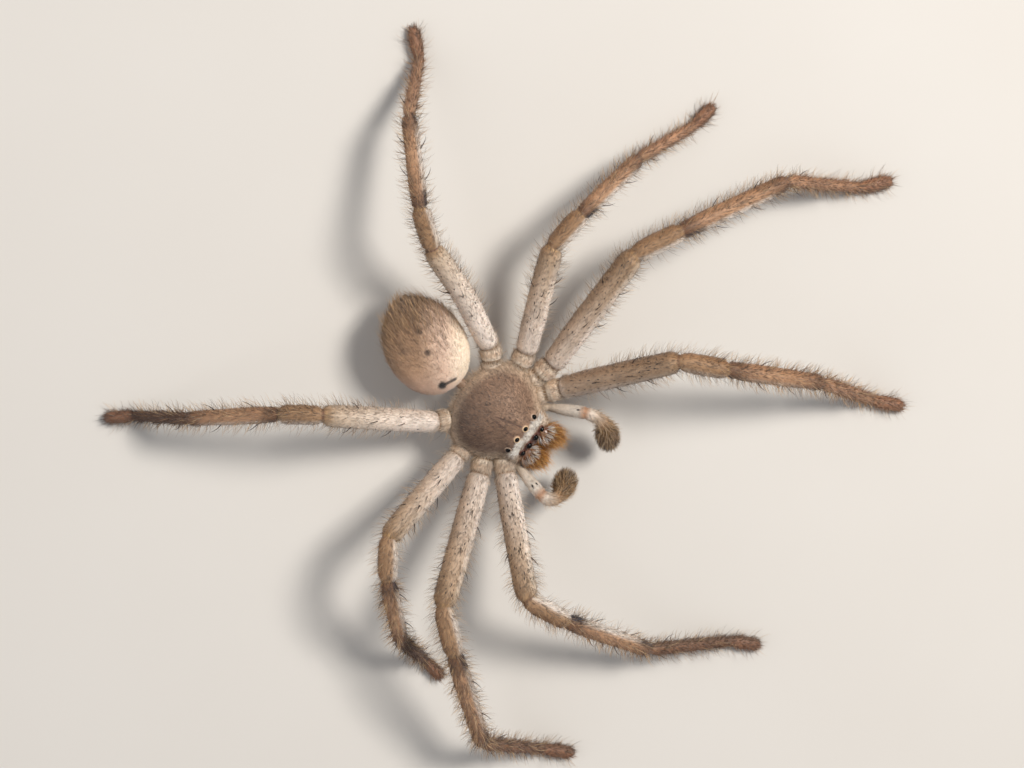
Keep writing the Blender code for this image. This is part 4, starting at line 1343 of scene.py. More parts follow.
@dataclass
class FrontBody:
    """The shield with its blunt face, the breastplate and the eyes' mounds."""

    turn: float = -5.0
    pedicel_y: float = 4.6
    half_width: float = 5.1
    middle_y: float = 0.9
    front_reach: float = 4.73
    rear_reach: float = 3.6
    centre_y: float = 0.4
    face_reach: float = 0.77
    face_corner_reach: float = 0.26
    face_half_width: float = 2.5
    face_outer: float = 3.4
    rim_height: float = 5.5
    face_rim_raise: float = 0.8
    top: float = 8.9
    sternum_height: float = 3.7
    coat_depth: float = 0.12
    rows: int = 96
    columns: int = 150
    fovea: tuple[float, float] = (-0.35, 1.6)
    eye_shift: float = -0.12
    eye_clearance: float = 0.5

    def place_head(self, points: Array) -> Array:
        """Turn points of the head's own frame with the head."""
        return turned(points, self.turn, np.array([0.0, self.pedicel_y, 0.0]))

    def outline(self, angle: Array) -> tuple[Array, Array]:
        """The rim seen from above: an ellipse drawn out in front into a blunt face.

        Args:
            angle: Angles round the body, counted from the face.

        Returns:
            First and second coordinate of the rim.
        """
        x = self.half_width * np.sin(angle)
        ahead = np.cos(angle)
        y = self.middle_y - ahead * np.where(ahead > 0, self.front_reach, self.rear_reach)
        inside = 1 - ease(np.abs(x), self.face_half_width, self.face_outer)
        corner = np.minimum(np.abs(x) / self.face_half_width, 1) ** 2
        y = y - np.where(ahead > 0, inside * (self.face_reach + self.face_corner_reach * corner), 0.0)
        return x, y

    def surface(self, polar: Array, angle: Array) -> Array:
        """Points of the shield and breastplate in the head's own frame.

        A ball's ring at the polar angle reaches out by its sine. Above the rim the height falls from the
        top with the reach to the power 2.3, and below it rises from the breastplate with the cube.

        Args:
            polar: Angle from the top at each point.
            angle: Angle round the body at each point.

        Returns:
            The points.
        """
        reach = np.sin(polar)
        x, y = self.outline(angle)
        ahead = ease(np.cos(angle), 0.6, 0.95)
        rim = self.rim_height + self.face_rim_raise * ahead
        above = rim + (self.top - rim) * np.maximum(1 - reach ** 2.3, 0) ** 0.78
        below = rim - (rim - self.sternum_height) * np.maximum(1 - reach ** 3, 0) ** 0.7
        upper = polar <= math.pi / 2
        tuck = np.where(upper, 1.0, 1 - 0.3 * np.abs(np.cos(polar)) ** 0.6)
        share = reach * tuck
        return np.stack([x * share, self.centre_y + (y - self.centre_y) * share,
                         np.where(upper, above, below)], axis=-1)

    def white_band(self, x: Array, y: Array) -> Array:
        """The face's ragged white band: a bar with wavy edges and two dim stretches.

        Args:
            x: First coordinate in the head's own frame.
            y: Second coordinate in the head's own frame.

        Returns:
            How white each point is, from 0 to 1.
        """
        waver = 0.1 * np.sin(3.1 * x + 0.9) + 0.06 * np.sin(7.7 * x + 2.2)
        band = (1 - ease(np.abs(y + 3.3 + waver), 0.22, 0.48)) * (1 - ease(np.abs(x), 2.2, 2.75))
        dim = 0.5 + 0.5 * np.sin(4.1 * x + 0.6) * np.sin(9.3 * x + 3.0 * y + 1.3)
        return band * (0.45 + 0.55 * ease(dim, 0.3, 0.6))

    def tints(self, local: Array, polar: Array) -> Array:
        """Brown fur, painted darker on its right side as shade, with a pale rim, two dark lines from the pit
        to the eyes, and the face's white band.

        Args:
            local: Points in the head's own frame.
            polar: Angle from the top at each point.

        Returns:
            One colour for each point.
        """
        x, y = local[..., 0], local[..., 1]
        reach = np.where(polar < math.pi / 2, np.sin(polar), 1.0)
        # Painted shade: the fur is painted darker towards the right side (-X) and lighter towards the left,
        # which faced the light.
        tint = blend(tone(104, 79, 62), tone(150, 119, 96), ease(x, -3.8, 3.0))
        tint = blend(tint, tone(216, 190, 162), 0.8 * ease(reach, 0.76, 0.97))
        for sign in (-1, 1):
            off, share = off_line(x, y, self.fovea, (sign * 0.62, -2.2))
            tint = blend(tint, tone(76, 54, 46), 0.7 * (1 - ease(off, 0.05, 0.14)) * ease(share, 0.1, 0.4))
        pit = np.hypot((x - self.fovea[0]) / 0.1, (y - self.fovea[1]) / 0.4)
        tint = blend(tint, tone(84, 62, 54), 0.3 * (1 - ease(pit, 0.5, 1.3)))
        tint = blend(tint, tone(238, 228, 214), self.white_band(x, y) * (polar < math.pi / 2 + 0.1))
        mask = (1 - ease(np.abs(y + 4.35), 0.42, 0.6)) * (1 - ease(np.abs(x), 1.7, 2.1))
        tint = blend(tint, tone(84, 42, 28), mask)
        corner = (1 - ease(np.hypot(np.abs(x) - 2.35, y + 3.75), 0.25, 0.6)) * 0.85
        tint = blend(tint, tone(222, 204, 184), corner)
        under = (polar > math.pi / 2) * ease(polar, 1.7, 2.0)
        return blend(tint, tone(176, 156, 128), under)

    def skin(self, window: Window) -> Patch:
        """The shield's grid, pulled in by the coat's depth along its normals.

        Args:
            window: The shield's part of the OFBake map.

        Returns:
            The grid.
        """
        polar, angle = ball_angles(self.rows, self.columns, 0.03)
        local = self.surface(polar, angle)
        x, y = local[..., 0] - self.fovea[0], local[..., 1] - self.fovea[1]
        pit = 1 - ease(np.hypot(x / 0.2, y / 0.6), 0.0, 1.6)
        local[..., 2] -= 0.08 * pit * (polar < 1.2)
        lie = local - np.array([0.0, -5.5, 0.0])
        lie[..., 2] = 0
        radius = np.hypot(x, y)
        theta = np.arctan2(y, x)
        place = np.stack([radius, np.cos(theta) * 3.2, np.sin(theta) * 3.2 + 200.0], axis=-1)
        tint = self.tints(local, polar)
        dots = (polar < 1.35) * ease(-y, -3.0, 0.5) * 0.3
        patch = Patch(self.place_head(local), tint, unit(lie), place, dots, Cover.SHIELD, window)
        patch.points = patch.points - patch.normals() * self.coat_depth
        self.polar, self.local = polar, local
        return patch

    def coat(self, patch: Patch, eyes: list[Array], material: Material, seed: int) -> Coat:
        """Short flat fur over the shield, white hair on the face and a few long bristles.

        Args:
            patch: The shield's skin.
            eyes: Middles of the eyes, which no hair may cover.
            material: The fur's finish.
            seed: Start of the random draws.

        Returns:
            The coat.
        """
        coat = Coat("coat_front_body", "shield", seed, material)
        x, y = self.local[..., 0], self.local[..., 1]
        before = self.place_head(np.array([0.0, self.eye_shift, 0.0])) - self.place_head(np.zeros(3))
        gaps = [np.linalg.norm(patch.points - eye - before, axis=-1) for eye in eyes]
        clear = ease(np.min(gaps, axis=0), self.eye_clearance - 0.08, self.eye_clearance)
        upper = (self.polar < math.pi / 2 + 0.25) * clear
        face = self.white_band(x, y) * upper
        for share, colour, own in ((72.0, None, 0.0), (26.0, (196, 166, 140), 0.5),
                                   (20.0, (60, 42, 34), 0.6)):
            coat.cover(patch, share, upper * (1 - 0.9 * face),
                       Hair(0.36, 0.036, 17.0, yaw=15, uneven=0.2, root_shade=0.75, tip_shade=1.15,
                            colour=colour, own=own))
        coat.cover(patch, 3.4, (self.polar < 1.2) * ease(y, -2.8, -0.5) * ease(-x, -3.5, 0.5),
                   Hair(0.36, 0.11, 12.0, bend=0.9, yaw=14, vary=0.4, colour=(44, 30, 26), own=0.9,
                        tip_shade=1.0))
        under = (self.polar > math.pi / 2 + 0.25) * 1.0
        coat.cover(patch, 12.0, under, Hair(0.5, 0.06, 22.0, yaw=20))
        coat.cover(patch, 150.0, face,
                   Hair(0.5, 0.055, 26.0, yaw=55, colour=(255, 250, 242), own=0.92, uneven=0.2,
                        root_shade=0.7, tip_shade=1.2))
        coat.cover(patch, 36.0, upper * ease(self.polar, 1.1, 1.5),
                   Hair(0.95, 0.05, 32.0, bend=0.8, yaw=36, colour=(214, 188, 160), own=0.6))
        brow = upper * (1 - ease(np.abs(y + 3.3), 0.9, 1.4)) * (np.abs(x) < 2.7)
        coat.cover(patch, 5.0, brow,
                   Hair(0.95, 0.035, 66.0, bend=0.5, yaw=50, stops=CURVED_STOPS, colour=(92, 70, 54),
                        own=0.7))
        coat.cover(patch, 3.0, (self.polar < 1.2) * 1.0,
                   Hair(0.5, 0.04, 38.0, colour=(64, 46, 38), own=0.8, tip_shade=0.8))
        return coat


def ring_dome(centre: Array, normal: Array, profile: Profile, colour: Colour, inner: Colour,
              columns: int = 26) -> Patch:
    """A mound turned about a normal, with its rows from the skirt inwards.

    Args:
        centre: Middle of the mound.
        normal: Its axis, outwards.
        profile: Radius and height of each row.
        colour: Colour of the skirt.
        inner: Colour inside.
        columns: Points round each row.

    Returns:
        The grid.
    """
    side = unit(np.cross(normal, [0.2, 0.9, 0.1]))
    over = np.cross(side, normal)
    angle = round_angles(columns)
    radius, height = (np.array(values)[:, None, None] for values in zip(*profile))
    ring = side * np.cos(angle)[:, None] + over * np.sin(angle)[:, None]
    points = centre + ring[None] * radius + normal * height
    share = np.linspace(0, 1, len(profile))
    tint = blend(tone(*colour), tone(*inner), ease(share, 0.25, 0.5))[:, None] * np.ones((1, columns, 1))
    lie = np.repeat(ring[None], len(profile), axis=0)
    return Patch(points, tint, lie, points.copy(), np.zeros(points.shape[:2]), Cover.EYE_RIM)


# Skirt and inner colour of the mound round each kind of eye: pale orange round the rear middle pair
EYE_RIM_TINTS = {
    "anterior_median": ((88, 46, 32), (60, 30, 22)),
    "anterior_lateral": ((96, 54, 38), (60, 32, 24)),
    "posterior_median": ((160, 130, 110), (226, 192, 152)),
    "posterior_lateral": ((190, 172, 156), (196, 168, 144)),
}


@dataclass
class Eyes:
    """Eight eyes at the frame's own places, each a dark lens in a low mound."""

    radius: float = 0.27
    rim: float = 1.22
    front_swell: float = 1.15
    rows: int = 18
    columns: int = 28

    def centres(self, offset: Array) -> dict[str, Array]:
        """Middle of each eye's solid, in the spider's own frame.

        Args:
            offset: Where the spider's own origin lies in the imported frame.

        Returns:
            The middle by the name of the eye's node.
        """
        names = [f"eye_{side.label}_{kind}" for side in Side for kind in EYE_RIM_TINTS]
        boxes = [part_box(name) for name in names]
        return {name: (np.array(low) + np.array(high)) / 2 / MM - offset
                for name, (low, high) in zip(names, boxes)}

    def build(self, shop: Workshop, material: Material) -> None:
        """Make a ball for each eye: rows by polar angle, columns round it.

        Args:
            shop: Makes the objects.
            material: The lens's finish.
        """
        polar = np.linspace(0.04, math.pi - 0.04, self.rows)[:, None]
        angle = round_angles(self.columns)
        ball = np.stack([np.sin(polar) * np.cos(angle), np.sin(polar) * np.sin(angle),
                         np.cos(polar) * np.ones_like(angle)], axis=-1)
        for name, centre in self.centres(shop.offset).items():
            low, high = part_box(name)
            radius = (high[2] - low[2]) / MM / 2
            points = centre + ball * radius * (self.front_swell if "anterior_median" in name else 1.0)
            flat = np.zeros_like(points)
            patch = Patch(points, flat, flat, flat, flat[..., 0], Cover.SHIELD)
            item = shop.patches(f"{name}_lens", [patch], [material])
            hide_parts(name)

    def rims(self, offset: Array, skin: Patch) -> list[Patch]:
        """The mounds, which stand square to the shield where each eye is.

        Args:
            offset: Where the spider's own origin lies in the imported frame.
            skin: The shield.

        Returns:
            One grid for each eye.
        """
        places = skin.points.reshape(-1, 3)
        normals = skin.normals().reshape(-1, 3)
        girths = self.radius * np.array([1.75, 1.55, 1.36, self.rim, 1.08, 0.96, 0.88, 0.6])
        found = []
        for name, centre in self.centres(offset).items():
            kind = name.split("_", 2)[2]
            normal = normals[np.argmin(np.linalg.norm(places - centre, axis=1))]
            raised = 0.05 if kind == "posterior_median" else 0.0
            heights = (-0.3, -0.16, -0.05, raised, 0.04 + raised, 0.02 + raised, -0.08, -0.2)
            found.append(ring_dome(centre, normal, tuple(zip(girths, heights)), *EYE_RIM_TINTS[kind]))
        return found


# Jaws, feelers and hind body


@dataclass
class Jaws:
    """The two stout jaws with their bristles, and the fangs."""

    head: FrontBody
    root: Point = (1.27, -4.55, 5.95)
    tip: Point = (1.3, -6.1, 2.55)
    width: float = 2.2
    depth: float = 2.5
    profile: Profile = ((0, 0.84), (0.12, 0.96), (0.38, 1.0), (0.65, 0.93), (0.88, 0.76), (1, 0.58))
    coat_depth: float = 0.12
    dome: float = 0.8
    rows: int = 52
    fang_radius: float = 0.3
    fang_span: float = 1.5
    fang_gap: float = 0.15

    def ends(self, side: Side) -> tuple[Array, Array]:
        """Root and tip of one jaw in the head's own frame."""
        mirror = np.array([side.value, 1.0, 1.0])
        return np.array(self.root) * mirror, np.array(self.tip) * mirror

    def skin(self, side: Side, window: Window) -> Patch:
        """One jaw: an ellipse carried down from the face, dark red-brown with a pale root in front.

        Args:
            side: Side of the jaw.
            window: The jaw's part of the OFBake map.

        Returns:
            The grid.
        """
        start, end = self.ends(side)
        sweep = Sweep(np.array([start, end]), side.value)
        along = np.linspace(-self.dome, sweep.knots[-1] + self.dome / 2, self.rows)
        share = along / sweep.knots[-1]
        wide = np.interp(share, *zip(*self.profile)) * self.width / 2 - self.coat_depth
        past = np.maximum(-along, 2 * (along - sweep.knots[-1])) / self.dome
        wide = wide * np.sqrt(1 - np.clip(past, 0, 0.995) ** 2)
        self.share = share[:, None]
        points, lie, angle = sweep.tube(along, wide, wide * self.depth / self.width, 30)
        facing = ease(np.cos(angle), 0.2, 0.9)[None] * ease(share, 0.6, 0.2)[:, None]
        tint = blend(tone(104, 58, 36), tone(150, 122, 100), facing * 0.6)
        place = tube_place(along, angle, 1.1, 300.0 * side.value)
        return Patch(self.head.place_head(points), tint, lie, place, np.zeros(points.shape[:2]), Cover.JAW,
                     window)

    def coat(self, patches: list[Patch], material: Material, seed: int) -> Coat:
        """Silver hair at the root in front, and golden bristles that fan down and outwards.

        Args:
            patches: The jaws' skins, in the order of the sides.
            material: The bristles' finish.
            seed: Start of the random draws.

        Returns:
            The coat.
        """
        coat = Coat("coat_jaws", "jaw", seed, material, sunk=0.1)
        share = self.share
        for side, patch in zip(Side, patches):
            angle = round_angles(patch.points.shape[1])[None]
            front = ease(np.cos(angle), -0.5, 0.2) * np.ones_like(share)
            flow = unit(turned(np.array([0.12 * side.value, -1.0, -0.3]), self.head.turn, np.zeros(3)))
            patch.lie = np.broadcast_to(flow, patch.points.shape)
            start, _ = self.ends(side)
            ahead = (patch.points - self.head.place_head(start)) @ flow
            silver = (1 - ease(ahead, 0.1, 0.6)) * ease(share, -0.28, -0.12) * (1 - ease(share, 0.3, 0.4))
            silver = silver * ease(np.cos(angle), -0.4, 0.2)
            weight = (0.3 + front) * (1 - 0.92 * silver)
            for colour, number in (((206, 134, 54), 32.0), ((126, 72, 30), 22.0), ((236, 190, 118), 11.0)):
                coat.cover(patch, number, weight,
                           Hair(1.2, 0.05, 34.0, bend=0.6, yaw=26, vary=0.35, stops=LONG_STOPS,
                                colour=colour, own=0.92, uneven=0.25, root_shade=0.45, tip_shade=1.15))
            coat.cover(patch, 16.0, front * ease(ahead, 0.2, 0.8),
                       Hair(1.9, 0.048, 34.0, bend=0.3, yaw=30, stops=LONG_STOPS, colour=(214, 158, 88),
                            own=0.95, uneven=0.3, root_shade=0.5, tip_shade=1.2))
            coat.cover(patch, 75.0, silver,
                       Hair(0.75, 0.05, 28.0, bend=0.6, yaw=30, colour=(250, 244, 236), own=0.96,
                            uneven=0.3, root_shade=0.5, tip_shade=1.2))
            coat.cover(patch, 14.0, front,
                       Hair(0.9, 0.05, 34.0, yaw=30, colour=(60, 34, 20), own=0.9, tip_shade=0.8))
        return coat

    def fang_path(self, side: Side) -> Array:
        """A hook that starts under the jaw's tip and folds inwards and back.

        Args:
            side: Side of the fang.

        Returns:
            Points of its middle line, root first.
        """
        start, end = self.ends(side)
        down = unit(end - start)
        share = np.linspace(0, 1, 12)
        bend = share * math.radians(80)
        shift = np.stack([-side.value * self.fang_span * (1 - np.cos(bend)) * 0.75,
                          self.fang_span * 0.35 * share, -self.fang_span * 0.42 * np.sin(bend)], axis=1)
        base = end + np.array([0.0, down[1], down[2]]) * self.fang_gap
        return self.head.place_head(base + shift)


@dataclass
class Feeler:
    """One palp, from under the face over its raised knee to its hairy, swollen end."""

    side: Side
    joints: tuple[Point, ...]
    root: Point = (1.9, -2.6, 4.5)
    root_width: float = 1.1
    femur_width: float = 1.4
    knee_width: float = 1.4
    end_width: float = 2.1
    end_depth: float = 0.9
    coat_depth: float = 0.07
    rows: int = 120
    columns: int = 20

    def skin(self, window: Window) -> Patch:
        """The feeler's skin: a slim tube to the knee, a curved shin and an egg-shaped end.

        The shin is a curve with the elbow as its middle handle.

        Args:
            window: The feeler's part of the OFBake map.

        Returns:
            The grid.
        """
        first, second, elbow, third, last = (np.array(point) for point in self.joints)
        root = np.array(self.root) * np.array([self.side.value, 1, 1])
        share = np.array([0.25, 0.5, 0.75])[:, None]
        shin = second * (1 - share) ** 2 + elbow * 2 * share * (1 - share) + third * share ** 2
        sweep = Sweep(np.vstack([root, first, second, shin, third, last]), self.side.value, soften=0.25)
        base, knee, shin_high, shin_middle, shin_low, wrist, tip = sweep.knots[1:]
        along = np.linspace(0.0, tip - 0.12, self.rows)
        thigh, end = knee - base, tip - wrist
        slim, knee_girth, swell = self.femur_width / 2, self.knee_width / 2, self.end_width / 2
        girths = np.array((
            (0, self.root_width / 2), (base - 0.2, self.root_width * 0.4), (base, slim * 0.62),
            (base + 0.1 * thigh, slim * 0.7), (base + 0.5 * thigh, slim * 0.92), (knee - 0.15, slim),
            (knee, slim * 0.84), (knee + 0.3, knee_girth), (wrist - 0.3, knee_girth),
            (wrist, knee_girth * 0.95), (wrist + 0.12 * end, swell * 0.9), (wrist + 0.38 * end, swell),
            (wrist + 0.65 * end, swell * 0.98), (wrist + 0.88 * end, swell * 0.75), (tip, swell * 0.25)))
        wide = np.maximum(np.interp(along, girths[:, 0], girths[:, 1]) - self.coat_depth, 0.08)
        deep = wide * np.interp(along, [wrist, tip], [1.0, self.end_depth])
        points, lie, angle = sweep.tube(along, wide, deep, self.columns)
        bands = ((0, (180, 156, 128)), (base + 0.3, (196, 178, 158)), (knee - 0.6, (210, 198, 184)),
                 (knee, (166, 120, 86)), (knee + 0.4, (204, 188, 172)), (shin_low, (158, 122, 86)),
                 (wrist + 0.3, (132, 100, 64)), (tip, (98, 74, 48)))
        tint = read_rows(along, [band[0] for band in bands], np.array([tone(*band[1]) for band in bands]))
        ring = np.ones((1, self.columns))
        dots = ((along > base + 0.6 * thigh) & (along < knee - 0.3))[:, None] * ring
        self.hairy = ease(along, knee - 0.3, shin_high)[:, None] * ring
        self.end = ease(along, shin_middle, wrist)[:, None] * ring
        place = tube_place(along, angle, 0.6, 400.0 * self.side.value)
        return Patch(points, tint[:, None] * ring[..., None], lie, place, dots, Cover.LIMB, window)

    def coat(self, patch: Patch, material: Material, seed: int) -> Coat:
        """Pale fur to the knee, longer hair on the shin and a shaggy olive end.

        Args:
            patch: The feeler's skin.
            material: The fur's finish.
            seed: Start of the random draws.

        Returns:
            The coat.
        """
        coat = Coat(f"coat_palp_{self.side.label}", "palp_end", seed, material)
        coat.cover(patch, 30.0, 1 - 0.6 * self.end, Hair(0.36, 0.06, 15.0))
        for colour, number in (((146, 110, 68), 30.0), ((100, 74, 44), 24.0), ((186, 150, 104), 10.0)):
            coat.cover(patch, number, self.end,
                       Hair(0.8, 0.055, 30.0, yaw=24, uneven=0.25, colour=colour, own=0.8,
                            stops=CURVED_STOPS))
        coat.cover(patch, 12.0, np.maximum(self.hairy, 0.15),
                   Hair(0.9, 0.045, 50.0, yaw=34, colour=(196, 166, 128), own=0.7, stops=CURVED_STOPS))
        coat.cover(patch, 8.0, self.end,
                   Hair(0.85, 0.05, 36.0, yaw=30, colour=(52, 38, 28), own=0.8, tip_shade=0.8))
        return coat


# Base, knee, elbow, wrist and tip of each palp
PALPS = {
    Side.LEFT: ((2.75, -4.0, 4.8), (4.4, -6.9, 7.0), (4.95, -8.5, 7.2), (4.2, -9.5, 5.9),
                (2.65, -11.4, 3.4)),
    Side.RIGHT: ((-3.85, -4.6, 4.8), (-4.75, -7.7, 7.0), (-5.05, -9.3, 7.1), (-3.75, -9.5, 5.8),
                 (-1.95, -9.5, 3.6)),
}


@dataclass
class HindBody:
    """The egg-shaped hind body with its stalk and spinnerets."""

    centre: Point = (1.4, 9.72, 5.3)
    turn: float = -28.0
    half_length: float = 5.15
    half_width: float = 4.1
    half_height: float = 3.3
    taper: float = -0.05
    coat_depth: float = 0.14
    pale_side: Point = (0.84, -0.52, 0.12)
    rosy_side: Point = (-0.3, -0.95, 0.0)
    mark: tuple[float, float] = (-0.81, 6.42)
    mark_end: tuple[float, float] = (0.39, 5.69)
    rows: int = 114
    columns: int = 114

    def to_body(self, local: Array) -> Array:
        """Turn points of the egg's own frame and move them to its place."""
        return turned(local, self.turn, np.zeros(3)) + np.array(self.centre)

    def spot(self, x: float, y: float, points: Array, size: float) -> Array:
        """How near points on the upper side are to a place seen from above, from 0 to 1."""
        off = np.hypot(points[..., 0] - x, points[..., 1] - y)
        return (1 - ease(off, size * 0.45, size)) * (points[..., 2] > self.centre[2])

    def tints(self, local: Array, points: Array) -> Array:
        """Cream in front, brightest towards one front side where the cream is partly painted light, tan on
        top and browner behind, with dark pits and the mark above the stalk.

        Args:
            local: Points in the egg's own frame.
            points: The same points in the spider's frame.

        Returns:
            One colour for each point.
        """
        along = local[..., 1] / self.half_length
        tint = blend(tone(176, 141, 112), tone(142, 110, 82), ease(along, -0.3, 0.8))
        halves = np.array([self.half_width, self.half_length, self.half_height])
        facing = (local / halves) @ np.array(self.pale_side)
        low = ease(local @ np.array(self.rosy_side) / self.half_length, 0.3, 0.8)
        tint = blend(tint, tone(206, 174, 154), 0.6 * low * (points[..., 1] < self.centre[1] + 1))
        # Cream towards the cream-and-lit side: partly the real pale front, and partly a painted highlight
        # where the light fell.
        tint = blend(tint, tone(212, 182, 160), ease(facing, -0.15, 0.55))
        tint = blend(tint, tone(250, 232, 208), ease(facing, 0.45, 0.9))
        for x, y, size, depth in ((2.52, 11.25, 0.42, 0.9), (1.23, 9.5, 0.42, 0.9), (4.2, 13.0, 0.4, 0.5),
                                  (-0.12, 11.46, 0.4, 0.5)):
            tint = blend(tint, tone(64, 48, 40), depth * self.spot(x, y, points, size))
        tint = blend(tint, tone(14, 12, 13), 0.98 * self.spot(*self.mark, points, 0.56))
        off, _ = off_line(points[..., 0], points[..., 1], self.mark, self.mark_end)
        line = (1 - ease(off, 0.08, 0.24)) * (points[..., 2] > self.centre[2])
        tint = blend(tint, tone(24, 20, 20), 0.9 * line)
        under = ease(-local[..., 2] / self.half_height, 0.3, 0.9)
        return blend(tint, tone(188, 164, 134), under * 0.7)

    def egg(self, window: Window) -> Patch:
        """The egg: rows by the polar angle from the front end, columns round it, a little wider in front.

        Args:
            window: The egg's part of the OFBake map.

        Returns:
            The grid.
        """
        polar, angle = ball_angles(self.rows, self.columns, 0.035)
        swell = 1 - self.taper * np.cos(polar)
        local = np.stack([
            np.sin(polar) * np.sin(angle) * (self.half_width * swell - self.coat_depth),
            -np.cos(polar) * (self.half_length - self.coat_depth),
            np.sin(polar) * np.cos(angle) * (self.half_height * swell - self.coat_depth),
        ], axis=-1)
        points = self.to_body(local)
        lie = turned(np.broadcast_to([0.0, 1.0, -0.12], local.shape), self.turn, np.zeros(3))
        place = np.stack([local[..., 1], local[..., 0], local[..., 2] + 500.0], axis=-1)
        self.polar = polar
        return Patch(points, self.tints(local, points), lie, place, np.zeros(polar.shape), Cover.HIND_BODY,
                     window)

    def small_parts(self) -> list[Patch]:
        """The stalk, two spinnerets and the small lobe above them.

        Returns:
            One grid for each.
        """
        stalk = np.array([[0.0, 2.6, 5.2], [0.25, 6.4, 5.3]])
        parts = [(stalk, 0.62, 0.55)]
        for x, z, length in ((-0.45, -1.1, 1.2), (0.45, -1.1, 1.2), (0.0, -0.7, 0.8)):
            root = self.half_length - 1.2
            local = np.array([[x, root, z], [x * 1.25, root + length, z - 0.4]])
            parts.append((self.to_body(local), 0.42, 0.16))
        found = []
        for ends, wide, narrow in parts:
            sweep = Sweep(ends, 1, soften=0.1)
            along = np.linspace(0, sweep.knots[-1], 14)
            girth = np.interp(along, [0, sweep.knots[-1] * 0.7, sweep.knots[-1]], [wide, wide * 0.9, narrow])
            points, lie, angle = sweep.tube(along, girth, girth, 16)
            tint = tone(122, 98, 78) * np.ones_like(points)
            found.append(Patch(points, tint, lie, tube_place(along, angle, 0.5, 600.0),
                               np.zeros(points.shape[:2]), Cover.HIND_BODY))
        return found

    def coat(self, patch: Patch, material: Material, seed: int) -> Coat:
        """Fine fur on the pale front, growing longer and coarser to bristly hair behind.

        Args:
            patch: The egg.
            material: The fur's finish.
            seed: Start of the random draws.

        Returns:
            The coat.
        """
        coat = Coat("coat_hind_body", "hind_body", seed, material, sunk=0.1)
        back = ease(self.polar, 0.9, 2.2)
        coat.cover(patch, 78.0, 0.8 + 0.2 * back,
                   Hair(0.46, 0.038, 14.0, yaw=13, uneven=0.14, root_shade=0.9, tip_shade=1.05))
        for low, number, length, lift, colour, own in (
                (0.9, 8.0, 0.8, 24.0, (206, 176, 142), 0.4), (1.25, 8.0, 1.15, 36.0, (198, 158, 114), 0.7),
                (1.2, 6.0, 1.0, 32.0, (96, 72, 54), 0.7), (1.5, 4.5, 1.6, 46.0, (206, 166, 118), 0.7)):
            coat.cover(patch, number, ease(self.polar, low, low + 1.0),
                       Hair(length, 0.05, lift, bend=0.5, yaw=14, stops=LONG_STOPS, uneven=0.25,
                            colour=colour, own=own, root_shade=0.65, tip_shade=1.15))
        return coat


# The whole animal and its studio


@dataclass
class Studio:
    """Pale floor, soft lights and the camera at the photograph's angle."""

    direction: Point = (0.0975, 0.1558, 0.983)
    up: Point = (0.832, 0.5293, -0.1664)
    aim: Point = (2.232, -0.351, 0.0)
    distance: float = 256.0
    lens: float = 90.0
    floor_reach: float = 1.5

    def build(self, shop: Workshop) -> None:
        """Make the camera, the floor, the lights and the world.

        Args:
            shop: Knows where the spider's own origin lies.
        """
        scene = bpy.context.scene
        scene.view_settings.view_transform = "Standard"
        back = unit(np.array(self.direction))
        up = unit(np.array(self.up) - back * (np.array(self.up) @ back))
        right = np.cross(up, back)
        place = (np.array(self.aim) + back * self.distance + shop.offset) * MM
        data = bpy.data.cameras.new("camera")
        data.lens = self.lens
        data.sensor_width = 36.0
        data.clip_start, data.clip_end = 0.01, 5.0
        camera = bpy.data.objects.new("camera", data)
        camera.matrix_world = self.stand(right, up, back, place)
        scene.collection.objects.link(camera)
        scene.camera = camera
        self.floor()
        self.light("key", right * 0.25 + up * 0.12 + back * 0.4, 0.13, 2.6, (1.0, 0.97, 0.93))
        self.light("fill", -right * 0.3 - up * 0.1 + back * 0.3, 0.4, 0.5, (0.97, 0.98, 1.0))
        world = bpy.data.worlds.new("studio")
        world.use_nodes = True
        sky = world.node_tree.nodes["Background"]
        sky.inputs["Color"].default_value = (0.9, 0.93, 1.0, 1)
        sky.inputs["Strength"].default_value = 0.3
        scene.world = world

    def stand(self, right: Array, up: Array, back: Array, where: Array) -> Matrix:
        """Place and turn of a camera or a light.

        Args:
            right: Its own X.
            up: Its own Y.
            back: Its own Z, away from what it looks at.
            where: Its place in metres.

        Returns:
            The matrix.
        """
        matrix = np.eye(4)
        matrix[:3] = np.stack([right, up, back, where], axis=1)
        return Matrix(matrix.tolist())

    def light(self, name: str, where: Array, size: float, power: float, colour: Colour) -> None:
        """A soft square light that faces the middle of the floor.

        Args:
            name: Name of the light.
            where: Its place in metres.
            size: Length of its edge in metres.
            power: Its power in watts.
            colour: Its colour.
        """
        data = bpy.data.lights.new(name, "AREA")
        data.size = size
        data.energy = power
        data.color = colour
        item = bpy.data.objects.new(name, data)
        back = unit(where)
        right = unit(np.cross([0.0, 0.0, 1.0], back))
        item.matrix_world = self.stand(right, np.cross(back, right), back, where)
        bpy.context.scene.collection.objects.link(item)

    def floor(self) -> None:
        """A wide pale sheet with a faint cloudiness."""
        mesh = bpy.data.meshes.new("floor")
        reach = self.floor_reach
        corners = [(-reach, -reach, 0), (reach, -reach, 0), (reach, reach, 0), (-reach, reach, 0)]
        mesh.from_pydata(corners, [], [(0, 1, 2, 3)])
        material, group, shader = start_material("pale floor", {"Roughness": 0.8})
        where = group.add("ShaderNodeTexCoord").outputs["Object"]
        cloud = group.add("ShaderNodeTexNoise", {"Vector": where, "Scale": 30.0, "Detail": 4.0})
        colour = group.mix(cloud.outputs["Fac"], paint((206, 200, 192)), paint((212, 207, 200)))
        group.put(shader, {"Base Color": colour})
        mesh.materials.append(material)
        item = bpy.data.objects.new("floor", mesh)
        bpy.context.scene.collection.objects.link(item)


